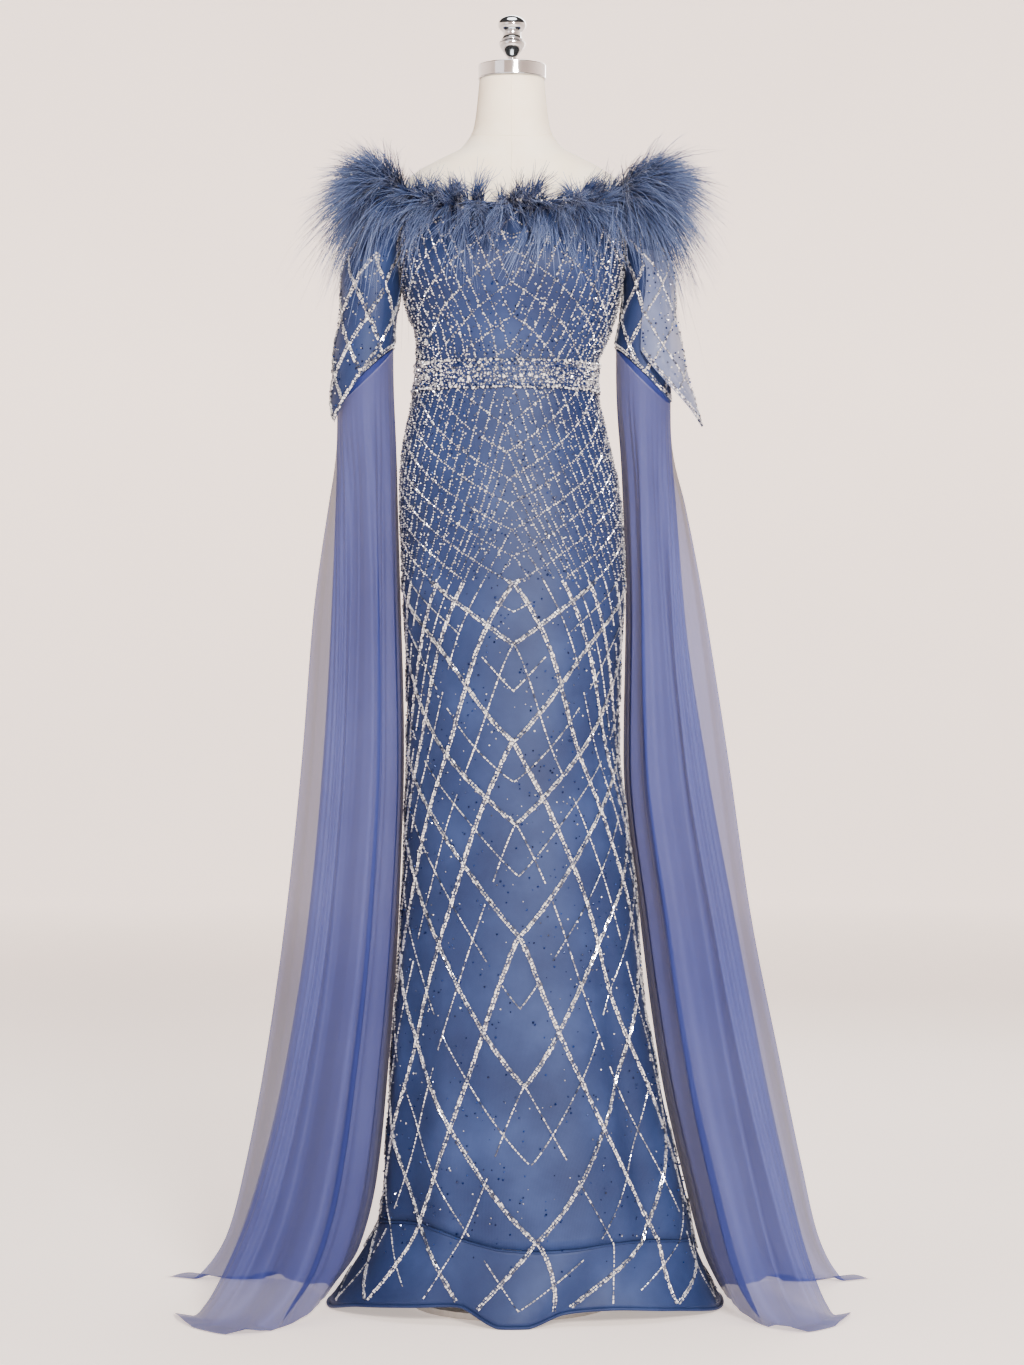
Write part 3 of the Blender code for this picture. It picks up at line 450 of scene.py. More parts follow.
# %% Torso and its seams
FORM_INSET = CLOTH_WALL + EASE_GAP + 0.0004
FORM_BOTTOM, FORM_FULL = 0.800, 0.930  # below the second height the torso narrows
FORM_LOW = Sections("z share", [(0.800, 0.55), (0.815, 0.78), (0.850, 0.92), (0.890, 0.98), (0.930, 1.0)])
SEAM_CORD = 0.0006


def form_point(angle, z):
    body = figure(angle, np.maximum(z, FORM_FULL), -FORM_INSET)
    share = FORM_LOW.at(z).share
    middle = FIGURE.at(FORM_BOTTOM).mid
    body[..., 0] = middle + (body[..., 0] - middle) * share
    body[..., 1] *= share
    body[..., 2] = z
    return body


angles = np.linspace(0, 360, 96, endpoint=False)
heights = np.concatenate([[0.8005], np.linspace(0.815, 1.33, 30), np.linspace(1.34, 1.5275, 44)])
torso = cloth("form_body", form_point(angles[:, None], heights[None, :]), linen, closed=True)
mend(torso, lambda mesh: bmesh.ops.holes_fill(mesh, edges=[e for e in mesh.edges if e.is_boundary], sides=0))
settle(torso, "linen", "form_torso")


def face_out(mesh):
    bmesh.ops.recalc_face_normals(mesh, faces=mesh.faces)


def tube(name, points, radius, material, sides=6, closed=False):
    """A thin round cord along points, for seams and bound edges."""
    points = np.asarray(points, float)
    n = len(points)
    along = unit(np.roll(points, -1, 0) - np.roll(points, 1, 0)) if closed else unit(np.gradient(points, axis=0))
    side = unit(np.cross(along, np.where(np.abs(along[:, 2:]) > 0.9, (1.0, 0.0, 0.0), (0.0, 0.0, 1.0))))
    other = np.cross(along, side)
    turn = np.linspace(0, 2 * pi, sides, endpoint=False)[None, :, None]
    rings = points[:, None] + radius * (side[:, None] * np.cos(turn) + other[:, None] * np.sin(turn))
    faces = grid_faces(sides, n, closed=True)
    if closed:
        here, after = np.arange(sides) * n, (np.arange(sides) + 1) % sides * n
        faces = np.concatenate([faces, np.stack([here + n - 1, after + n - 1, after, here], -1)])
    thing = object_of(name, rings.transpose(1, 0, 2), faces, material)
    mend(thing, face_out)
    return thing


def join(name, things):
    """Joins pieces of one material into one, at the origin."""
    with bpy.context.temp_override(active_object=things[0], selected_editable_objects=things):
        bpy.ops.object.join()
    things[0].name = name
    return things[0]


z = np.linspace(1.36, 1.526, 60)
ring = np.linspace(0, 360, 120, endpoint=False)
neck = 1.462 - 0.012 * np.cos(np.radians(ring))  # the seam dips at the front of the neck
seams = join("form_seams", [
    tube("front_seam", form_point(0.0 * z, z) + (0, -0.0002, 0), SEAM_CORD, linen),
    tube("back_seam", form_point(180 + 0 * z, z) + (0, 0.0002, 0), SEAM_CORD, linen),
    tube("neck_seam", form_point(ring, neck), SEAM_CORD, linen, closed=True)])
settle(seams, "linen")
print("form", [len(p.data.polygons) for p in (torso, seams)], "faces")


# %% Turned cap and knob
def turned(name, profile, node, sides=64):
    """A turned piece: the profile, radius and height from the bottom up, swept round the axis."""
    profile = np.array([(0.0, profile[0][1])] + list(profile) + [(0.0, profile[-1][1])])
    turn = np.linspace(0, 2 * pi, sides, endpoint=False)[:, None]
    grid = np.stack([profile[:, 0] * np.cos(turn), profile[:, 0] * np.sin(turn), profile[:, 1] + 0 * turn], -1)
    thing = object_of(name, grid, grid_faces(sides, len(profile), closed=True), chrome)
    mend(thing, lambda mesh: bmesh.ops.remove_doubles(mesh, verts=mesh.verts, dist=1e-6), face_out)
    thing.data.set_sharp_from_angle(angle=radians(50))
    settle(thing, "chrome", node)
    print(name, len(thing.data.polygons), "faces")


def arc(centre_r, centre_z, radius, start, end, steps, rise=None):
    """Profile points on an arc; rise is its height where it is flatter than a circle."""
    turn = np.radians(np.linspace(start, end, steps))
    rise = radius if rise is None else rise
    return list(zip(centre_r + radius * np.cos(turn), centre_z + rise * np.sin(turn)))


cap = [(0.0420, 1.5285)] + arc(0.0420, 1.5295, 0.0008, -80, 80, 6) + [(0.0422, 1.5312)]
cap += [(0.0422, 1.5440)] + arc(0.0412, 1.5452, 0.0012, 0, 80, 7) + [(0.0340, 1.5476), (0.0110, 1.5479)]
turned("neck_cap", cap, "form_cap", 96)
knob = [(0.0060, 1.5485), (0.0058, 1.5560), (0.0078, 1.5585), (0.0092, 1.5605)]
knob += [(0.0120, 1.5640), (0.0152, 1.5690), (0.0166, 1.5725)] + arc(0.0150, 1.5740, 0.0016, -20, 80, 6)
knob += [(0.0124, 1.5768)] + arc(0.0128, 1.5785, 0.0010, -60, 60, 6) + [(0.0118, 1.5806), (0.0112, 1.5830)]
knob += arc(0.0, 1.5968, 0.0176, -50, 87, 22, rise=0.0117)
turned("neck_knob", knob, "form_finial")

# %% [markdown]
# ## Bodice and skirt
# A fitted gown is cut from panels that meet at the side seams. Each visible panel follows the CAD
# panel on a much finer grid, with the soft unevenness of real cloth: shallow folds that start at
# the knee and grow to the hem. They are listed one by one and kept shallow, because a gown that is
# heavy with beads hangs nearly straight.

# %% Skirt surface and its folds
HEM_SEAM = Sections("angle z", [
    (-180, 0.095), (-120, 0.104), (-90, 0.108), (-45, 0.118), (-12, 0.094),
    (0, 0.091), (30, 0.099), (60, 0.094), (90, 0.083), (135, 0.092), (180, 0.095),
])
SkirtFold = namedtuple("SkirtFold", "angle width depth top")
SKIRT_FOLDS = [
    SkirtFold(43, 9.0, -0.009, 0.62), SkirtFold(64, 10.0, 0.004, 0.60), SkirtFold(-52, 9.0, -0.006, 0.50),
    SkirtFold(138, 9.0, -0.008, 0.60), SkirtFold(-140, 8.0, -0.009, 0.55), SkirtFold(180, 12.0, 0.006, 0.50),
    SkirtFold(-22, 6.0, -0.0022, 0.42), SkirtFold(-34, 5.0, 0.0018, 0.55), SkirtFold(14, 7.0, 0.0016, 0.40),
    SkirtFold(28, 5.0, -0.0020, 0.36), SkirtFold(-68, 6.0, 0.0022, 0.50), SkirtFold(78, 5.0, -0.0022, 0.48),
    SkirtFold(110, 7.0, 0.0022, 0.50), SkirtFold(-112, 7.0, -0.0022, 0.52), SkirtFold(-164, 7.0, -0.0020, 0.45),
]


SEAM_CELL = 180 / 16  # the CAD panel's columns, in degrees; the seam runs straight between them


def seam_height(angle):
    """The height of the seam between skirt and flounce."""
    step = np.floor(angle / SEAM_CELL)
    first, second = [HEM_SEAM.at(turn_between((step + k) * SEAM_CELL, 0)).z for k in (0, 1)]
    return first + (second - first) * (angle / SEAM_CELL - step)


def skirt_out(angle, z):
    """How far the folds stand out; each fades in from its top down."""
    out = 0.0
    for fold in SKIRT_FOLDS:
        fade = ease((fold.top - z) / (fold.top - 0.06) * 1.6)
        out = out + fold.depth * fade * hump(turn_between(angle, fold.angle), fold.width)
    return out


def skirt_point(angle, z, out=0.0):
    return figure_level(angle, z, skirt_out(angle, z) + out)


for name, centre in PANELS.items():
    a = panel(centre)
    low = seam_height(a)
    grid = skirt_point(a, low + (WAIST_Z - low) * np.linspace(0, 1, 96)[None, :])
    skirt = cloth(f"skirt_{name}_satin", grid, satin, wall=SATIN_WALL)
    declare(skirt, "beaded_net", "hung", grid, f"skirt_{name}", rests_on=["form_torso"])

# %% Bodice
NECKLINE = Sections("angle z reach", [
    (-180, 1.368, 0.0), (-150, 1.370, 0.0), (-125, 1.376, 0.003), (-108, 1.390, 0.018),
    (-90, 1.398, 0.029), (-72, 1.388, 0.018), (-55, 1.372, 0.003), (-35, 1.362, 0.0),
    (0, 1.356, 0.0), (35, 1.362, 0.0), (55, 1.372, 0.003), (72, 1.388, 0.018),
    (90, 1.398, 0.029), (108, 1.390, 0.018), (125, 1.376, 0.003), (150, 1.370, 0.0), (180, 1.368, 0.0),
])


UNDERARM_SPAN = 34.0  # degrees on each side of the arm where the edge drops to the armhole


def bodice_top(angle):
    """The bodice's upper edge: the neckline, lowered under each arm."""
    turn = np.abs(turn_between(angle, 0))
    edge = NECKLINE.at(turn).z + 0.002
    return edge + (UNDERARM_Z - edge) * (1 - ease(np.abs(turn - 90) / UNDERARM_SPAN))


for name, centre in PANELS.items():
    a = panel(centre)
    grid = figure(a, WAIST_Z + SEAM_GAP + (bodice_top(a) - WAIST_Z) * np.linspace(0, 1, 34)[None, :])
    bodice = cloth(f"bodice_{name}_satin", grid, satin, wall=SATIN_WALL)
    declare(bodice, "beaded_net", "stretched", grid, f"bodice_{name}", rests_on=["form_torso"])

# %% [markdown]
# ## Hem flounce
# The last strip of the gown is cut wider than the skirt above, so it flares and waves, and its edge
# is bound. The binding is a thin round cord along the edge, in the same satin: a bare edge of a thin
# sheet would look like paper.

# %% Flounce and its bound edge
FLOUNCE_HEM = Sections("angle reach lift", [
    (-180, 0.215, 0.0), (-158, 0.200, 0.018), (-134, 0.222, 0.0), (-112, 0.218, 0.013),
    (-90, 0.230, 0.0), (-64, 0.205, 0.015), (-42, 0.178, 0.021), (-22, 0.160, 0.024),
    (0, 0.176, 0.0), (20, 0.164, 0.016), (38, 0.184, 0.020), (60, 0.222, 0.014),
    (80, 0.258, 0.004), (97, 0.264, 0.0), (118, 0.238, 0.016), (140, 0.222, 0.0),
    (160, 0.202, 0.017), (180, 0.215, 0.0),
])
HEM_CORD = 0.0022


def hem_lift(angle):
    """How high the hem's edge is off the floor; its cord never sinks into it."""
    return np.maximum(FLOUNCE_HEM.at(turn_between(angle, 0)).lift, HEM_CORD)


def flounce_point(angle, share, out=0.0):
    """Share 0 is at the seam, 1 at the hem."""
    reach, lift = FLOUNCE_HEM.at(turn_between(angle, 0)).reach, hem_lift(angle)
    seam = seam_height(angle) - 2 * SEAM_GAP
    top = skirt_point(angle, seam)
    s, c = np.sin(np.radians(angle)), np.cos(np.radians(angle))
    low = np.stack([reach * power(s, SQUARENESS), -reach * power(c, SQUARENESS), lift], -1)
    point = top + (low - top) * (share ** 1.25)[..., None]
    point[..., 2] = seam + (lift - seam) * share
    ripple = 0.0016 * np.sin(np.radians(angle * 11.0)) * share * (1 - share) * 4
    point[..., 0] += (out + ripple) * s
    point[..., 1] -= (out + ripple) * c
    return point


for name, centre in PANELS.items():
    grid = flounce_point(*np.broadcast_arrays(panel(centre, 150), np.linspace(1, 0, 15)[None, :]))
    flounce = cloth(f"flounce_{name}_satin", grid, satin, wall=SATIN_WALL)
    declare(flounce, "beaded_net", "gathered", grid, f"flounce_{name}", rests_on=[f"skirt_{name}"])
ring = np.linspace(-180, 180, 360, endpoint=False)
hem_edges = join("hem_edges", [
    tube("hem_binding", flounce_point(ring, 1.0 + 0 * ring), HEM_CORD * 0.9, satin, sides=8, closed=True),
    tube("flounce_seam", flounce_point(ring, 0.02 + 0 * ring, 0.0006), 0.0010, satin, closed=True)])
settle(hem_edges, "beaded_net")
print("hem edges", len(hem_edges.data.polygons), "faces")

# %% [markdown]
# ## Sleeves and their pointed overlays
# Each sleeve is a soft tube of the same beaded net, open at the armhole and at its slanting lower
# edge. A second, pointed layer lies over it; the one on the photograph's right stands away from the
# arm, so it is seen as net alone, greyer and a little see-through. It gets its own finish for that.

# %% Sleeve surface
TRIM_WIDTH, TRIM_GAP = 0.012, 0.0007
SLEEVE = {
    "left": Sections("z inner outer deep middle", [
        (1.110, 0.1520, 0.2190, 0.040, 0.004), (1.155, 0.1500, 0.2180, 0.041, 0.003),
        (1.195, 0.1480, 0.2155, 0.043, 0.002), (1.233, 0.1435, 0.2110, 0.045, 0.0),
        (1.265, 0.1405, 0.2095, 0.046, 0.0), (1.297, 0.1405, 0.2095, 0.046, 0.0),
        (1.330, 0.1418, 0.2060, 0.044, 0.0), (1.360, 0.1425, 0.1980, 0.042, 0.0),
        (1.395, 0.1430, 0.1850, 0.036, 0.0),
    ]),
    "right": Sections("z inner outer deep middle", [
        (1.110, 0.1300, 0.1990, 0.040, 0.004), (1.155, 0.1300, 0.1975, 0.041, 0.003),
        (1.195, 0.1300, 0.1960, 0.043, 0.002), (1.233, 0.1340, 0.1960, 0.045, 0.0),
        (1.265, 0.1400, 0.1970, 0.046, 0.0), (1.297, 0.1405, 0.1990, 0.046, 0.0),
        (1.330, 0.1418, 0.1990, 0.044, 0.0), (1.360, 0.1425, 0.1960, 0.042, 0.0),
        (1.395, 0.1430, 0.1850, 0.036, 0.0),
    ]),
}
SLEEVE_EDGE_INNER_Z, SLEEVE_EDGE_OUTER_Z = 1.192, 1.124
ARM_SPAN = 32  # degrees round the body from the arm's middle to its front and its back
SLEEVE_CREASE, OVERLAY_GAP, OVERLAY_EASE = 0.0011, 0.0006, 0.0012
SIDE = {"left": -1, "right": 1}
POINTS = {
    "left": dict(angle=-34, half_turn=84, top=1.310, side_z=1.190, tip_z=1.098, stand=0.004),
    "right": dict(angle=-12, half_turn=84, top=1.310, side_z=1.186, tip_z=1.092, stand=0.034),
}


def neckline_point(angle, height=0.0, out=0.0):
    row = NECKLINE.at(turn_between(angle, 0))
    return figure_level(angle, row.z + height, row.reach + out)


def armhole_curve(turn):
    """The sleeve's upper edge; turn 0 is its outermost point, 180 is under the arm."""
    below = -TRIM_WIDTH / 2 - 2 * SEAM_GAP
    turn = turn_between(turn, 0)
    upper = neckline_point(90 + turn / 90 * ARM_SPAN, below, TRIM_GAP)
    rest = np.clip((180 - np.abs(turn)) / 90, 0, 1)
    angle = 90 + ARM_SPAN * rest * np.where(turn > 0, 1, -1)
    edge = NECKLINE.at(angle).z + below
    lower = figure_level(angle, UNDERARM_Z + (edge - UNDERARM_Z) * rest ** 1.5, 2 * EASE_GAP + 0 * edge)
    return np.where((np.abs(turn) <= 90)[..., None], upper, lower)


def sleeve_point(side, turn, share, out=0.0):
    """Share 0 is at the armhole, 1 at the lower edge; turn 90 is to the back."""
    turn, share = np.broadcast_arrays(np.asarray(turn, float), np.asarray(share, float))
    c, s = np.cos(np.radians(turn)), np.sin(np.radians(turn))
    low = SLEEVE_EDGE_INNER_Z + (SLEEVE_EDGE_OUTER_Z - SLEEVE_EDGE_INNER_Z) * (1 + c) / 2
    top = armhole_curve(turn)
    z = top[..., 2] + (low - top[..., 2]) * share
    row = SLEEVE[side].at(z)
    x = (row.outer + row.inner) / 2 + (row.outer - row.inner) / 2 * c
    y = row.middle + row.deep * s
    free = ease(share / 0.42)  # 0 at the armhole, 1 where the sleeve has its own section
    crease = SLEEVE_CREASE * np.sin(np.radians(turn * 5) + 9 * share) * free * (1 - share)
    x = top[..., 0] + (x - top[..., 0]) * free + (out + crease) * c
    y = top[..., 1] + (y - top[..., 1]) * free + (out + crease) * s
    return np.stack([x * SIDE[side], y, z], -1)


def overlay_point(side, turn, share, lift=0.0):
    """The pointed overlay outside the sleeve; share 1 is its lower edge."""
    size = POINTS[side]
    turn, share = np.broadcast_arrays(np.asarray(turn, float), np.asarray(share, float))
    away = np.minimum(np.abs(turn - size["angle"]) / size["half_turn"], 1.0)
    low = size["side_z"] + (size["tip_z"] - size["side_z"]) * (1 - away)
    top = sleeve_point(side, turn, 0.0 * turn)[..., 2]
    z = size["top"] + (low - size["top"]) * share
    stand = size["stand"] * (1 - away) * share ** 1.6
    gap = OVERLAY_GAP + OVERLAY_EASE * ease(share / 0.2)
    reach = top - sleeve_point(side, turn, 1.0 + 0 * turn)[..., 2]
    return sleeve_point(side, turn, (top - z) / reach, CLOTH_WALL + gap + stand + 0.002 * share + lift)


print("sleeve edges", [sleeve_point(side, 0.0, 1.0).round(3) for side in SIDE])

# %% Net for the overlays
# Stiff nylon net, hemmed but with no lining: matt, grey-blue, and partly clear, because its holes
# are too fine to be seen one by one from the camera.
net, tree, shader = finish("stiff_beading_net", {
    "Roughness": 0.6, "Sheen Weight": 0.3, "Alpha": 0.72, "Specular IOR Level": 0.3})
coordinates = add(tree, COORDINATES)
holes = add(tree, CELLS, {
    "Vector": coordinates.outputs["UV"], "Scale": 1 / NET_PITCH, "Randomness": 0.15}, feature="DISTANCE_TO_EDGE")
cloud = add(tree, NOISE, {"Vector": coordinates.outputs["Object"], "Scale": 18.0, "Detail": 3.0})
tone = add(tree, RAMP, {"Fac": cloud}, [(0.3, "#6A769C"), (0.7, "#838EB0")])
relief = add(tree, BUMP, {"Height": holes, "Distance": 0.0002, "Strength": 0.3})
feed(shader, {"Base Color": tone, "Normal": relief})
print("net", len(tree.nodes), "nodes")

# %% Sleeve pieces
def facing(side, grid, outward):
    """The grid, with its columns turned round where its faces would point inwards."""
    return grid if side == outward else grid[::-1]


for side, size in POINTS.items():
    turns = np.linspace(0, 360, 80, endpoint=False)[:, None]
    grid = facing(side, sleeve_point(side, turns, np.linspace(1, 0, 44)[None, :]), "right")
    sleeve = cloth(f"sleeve_{side}_satin", grid, satin, closed=True, wall=SLEEVE_WALL)
    ring = np.concatenate([grid, grid[:1]])
    declare(sleeve, "beaded_net", "hung", ring, f"sleeve_{side}", rests_on=[f"trim_{side}"])
    turns = size["angle"] + size["half_turn"] * np.linspace(-1, 1, 61)[:, None]
    grid = facing(side, overlay_point(side, turns, np.linspace(1, 0, 34)[None, :]), "right")
    overlay = cloth(f"sleeve_point_{side}_net", grid, net if side == "right" else satin)
    declare(overlay, "beaded_net", "hung", grid, f"sleeve_point_{side}", rests_on=[f"sleeve_{side}_satin"])

# %% [markdown]
# ## Sheer wings
# Each wing is one length of chiffon, gathered into the sleeve's edge and open down its outer side, so
# it hangs as a deep C. Where one layer hangs alone the wall shows through it; where folds overlap it
# turns to a deep blue-violet. So the finish is a thin, part-clear cloth on a single surface, and the
# depth of colour comes from real layers, not from paint. Its folds are tables, not chance.

# %% Chiffon material
YARN_PITCH = 0.0004

# Polyester chiffon, a loose plain weave of hard-twisted yarn: see-through and nearly matt, with a
# faint rib along its length that softens the highlight.
chiffon, tree, shader = finish("sheer_chiffon", {
    "Roughness": 0.62, "Alpha": 0.77, "Sheen Weight": 0.08, "Sheen Roughness": 0.35,
    "Sheen Tint": "#B9C3EA", "Specular IOR Level": 0.22})
coordinates = add(tree, COORDINATES)
drift = add(tree, NOISE, {"Vector": coordinates.outputs["Object"], "Scale": 3.0, "Detail": 3.0})
tone = add(tree, RAMP, {"Fac": drift}, [(0.3, "#2F3A78"), (0.7, "#434E8C")])
spun = add(tree, WAVE, {
    "Vector": coordinates.outputs["UV"], "Scale": 1 / YARN_PITCH / (2 * pi), "Distortion": 0.6},
    bands_direction="X")
relief = add(tree, BUMP, {"Height": spun.outputs["Fac"], "Distance": 0.00005, "Strength": 0.2})
feed(shader, {"Base Color": tone, "Normal": relief})
print("chiffon", len(tree.nodes), "nodes")

# %% Wing surface
# Down is measured along the cloth. Inner and out are distances from the middle plane, front and back
# depths from the wing's middle; the ends say how straight each free edge runs on, and lie how much
# of the cloth lies on the floor.
WING_COLUMNS = "down z inner out_front out_back middle front back end_front end_back lie"
WING = {
    "left": Sections(WING_COLUMNS, [
        (0.000, 1.158, 0.1500, 0.219, 0.219, 0.003, 0.042, 0.042, 0.00, 0.00, 0.0),
        (0.120, 1.038, 0.1430, 0.216, 0.228, 0.008, 0.050, 0.050, 0.35, 0.55, 0.0),
        (0.300, 0.858, 0.1380, 0.222, 0.252, 0.010, 0.062, 0.066, 0.80, 0.95, 0.0),
        (0.480, 0.678, 0.1345, 0.232, 0.268, 0.010, 0.076, 0.082, 0.90, 1.00, 0.0),
        (0.680, 0.478, 0.1420, 0.250, 0.290, 0.010, 0.092, 0.098, 0.90, 1.00, 0.0),
        (0.870, 0.288, 0.1565, 0.280, 0.318, 0.010, 0.112, 0.112, 0.85, 1.00, 0.0),
        (1.010, 0.150, 0.1710, 0.314, 0.345, 0.010, 0.138, 0.120, 0.80, 1.00, 0.0),
        (1.100, 0.064, 0.1930, 0.346, 0.368, 0.010, 0.160, 0.128, 0.72, 1.00, 0.0),
        (1.152, 0.018, 0.2230, 0.370, 0.396, 0.010, 0.182, 0.136, 0.62, 1.00, 0.3),
        (1.185, 0.0012, 0.2340, 0.388, 0.418, 0.010, 0.196, 0.146, 0.52, 1.00, 0.9),
        (1.235, 0.0012, 0.2360, 0.412, 0.454, 0.010, 0.222, 0.166, 0.36, 1.00, 1.0),
    ]),
    "right": Sections(WING_COLUMNS, [
        (0.000, 1.158, 0.1300, 0.198, 0.198, 0.003, 0.042, 0.042, 0.00, 0.00, 0.0),
        (0.120, 1.038, 0.1350, 0.200, 0.214, 0.008, 0.050, 0.050, 0.35, 0.55, 0.0),
        (0.300, 0.858, 0.1415, 0.212, 0.246, 0.010, 0.062, 0.066, 0.80, 0.95, 0.0),
        (0.480, 0.678, 0.1390, 0.238, 0.276, 0.010, 0.076, 0.082, 0.90, 1.00, 0.0),
        (0.680, 0.478, 0.1605, 0.274, 0.306, 0.010, 0.092, 0.098, 0.90, 1.00, 0.0),
        (0.870, 0.288, 0.1870, 0.310, 0.345, 0.010, 0.112, 0.112, 0.85, 1.00, 0.0),
        (1.010, 0.150, 0.2170, 0.340, 0.374, 0.010, 0.134, 0.116, 0.80, 1.00, 0.0),
        (1.100, 0.064, 0.2390, 0.362, 0.394, 0.010, 0.152, 0.118, 0.72, 1.00, 0.0),
        (1.152, 0.018, 0.2590, 0.380, 0.416, 0.010, 0.170, 0.124, 0.62, 1.00, 0.3),
        (1.185, 0.0012, 0.2680, 0.394, 0.434, 0.010, 0.182, 0.132, 0.52, 1.00, 0.9),
        (1.235, 0.0012, 0.2700, 0.414, 0.470, 0.010, 0.206, 0.150, 0.36, 1.00, 1.0),
    ]),
}
WING_CLEARANCE = 0.0035  # room for the beads of the skirt
WING_LENGTH, WING_INNER_LENGTH, WING_DROP, WING_EDGE_T = 1.235, 1.160, 0.00085, 0.982
WING_LOWEST = 0.0008  # the chiffon's middle where it lies on the floor
WING_KNEE, WING_LOWER = 0.45, 0.60  # where folds reach their middle depth, and how far on their last
PLEAT_DEPTH, RIPPLE_DEPTH, FOLD_WANDER = 0.0010, 0.0013, 0.012
Fold = namedtuple("Fold", "at width top mid hem lean")
WING_FOLDS = {
    "left": [
        Fold(-0.88, 0.075, 0.002, 0.006, 0.014, 0.004), Fold(-0.68, 0.080, -0.003, -0.009, -0.017, -0.005),
        Fold(-0.50, 0.070, 0.003, 0.009, 0.016, 0.005), Fold(-0.30, 0.080, -0.003, -0.009, -0.015, 0.002),
        Fold(0.30, 0.080, -0.003, -0.009, -0.015, 0.002), Fold(0.47, 0.070, 0.003, 0.008, 0.017, 0.004),
        Fold(0.66, 0.080, -0.002, -0.008, -0.017, -0.003), Fold(0.86, 0.075, 0.002, 0.006, 0.012, 0.002),
    ],
    "right": [
        Fold(-0.86, 0.080, 0.002, 0.006, 0.012, 0.003), Fold(-0.66, 0.070, -0.003, -0.010, -0.018, -0.006),
        Fold(-0.46, 0.080, 0.003, 0.009, 0.016, 0.004), Fold(-0.27, 0.070, -0.003, -0.008, -0.014, 0.002),
        Fold(0.28, 0.080, -0.003, -0.009, -0.015, 0.002), Fold(0.48, 0.070, 0.003, 0.009, 0.016, 0.004),
        Fold(0.68, 0.075, -0.002, -0.007, -0.017, -0.003), Fold(0.87, 0.075, 0.002, 0.006, 0.012, 0.002),
    ],
}
FINE_FOLDS = [  # place, width, depth at the sleeve, at the knee and at the hem, lean
    Fold(-0.95, 0.020, 0.0010, 0.0022, 0.0030, 0.001), Fold(-0.78, 0.026, 0.0014, 0.0030, 0.0040, 0.002),
    Fold(-0.60, 0.024, -0.0014, -0.0034, -0.0040, -0.003), Fold(-0.42, 0.020, 0.0014, 0.0036, 0.0030, 0.003),
    Fold(-0.36, 0.018, -0.0012, -0.0030, -0.0040, -0.002), Fold(-0.20, 0.024, 0.0014, 0.0040, 0.0050, 0.003),
    Fold(-0.10, 0.022, -0.0012, -0.0036, -0.0040, -0.002), Fold(0.04, 0.026, 0.0014, 0.0034, 0.0050, 0.003),
    Fold(0.16, 0.020, -0.0012, -0.0028, -0.0040, -0.002), Fold(0.24, 0.022, 0.0014, 0.0036, 0.0040, 0.002),
    Fold(0.40, 0.022, -0.0014, -0.0032, -0.0040, -0.003), Fold(0.56, 0.020, 0.0014, 0.0034, 0.0040, 0.002),
    Fold(0.76, 0.026, 0.0010, 0.0026, 0.0030, 0.002), Fold(0.94, 0.022, -0.0010, -0.0020, -0.0030, 0.0),
]


def wing_down(t, share):
    """How far down the cloth a share of its length is; it is cut shorter at its middle."""
    short = (WING_LENGTH - WING_INNER_LENGTH) * (1 - ease((np.abs(t) - 0.10) / 0.50))
    return share * (WING_LENGTH - short * share ** 4)


def wing_base(side, t, down):
    """The wing's C without folds: t runs from the front free edge, -1, to the back one, 1."""
    row = WING[side].at(down)
    s, front = np.abs(t), t < 0
    end = np.where(front, row.end_front, row.end_back)
    round_share = (1 - np.cos(pi * s)) / 2
    straight = np.where(s <= 0.5, round_share, 0.5 + (s - 0.5) * pi / 2) / (0.5 + pi / 4)
    share = round_share + (straight - round_share) * end
    swell = np.where(s <= 0.5, np.sin(pi * s), end + (1 - end) * np.sin(pi * s))
    clear = WING_CLEARANCE * ease(down / 0.2)
    x = row.inner + clear + (np.where(front, row.out_front, row.out_back) - row.inner) * share
    y = row.middle + np.where(front, -row.front, row.back) * swell
    return np.stack([x, y, row.z], -1)


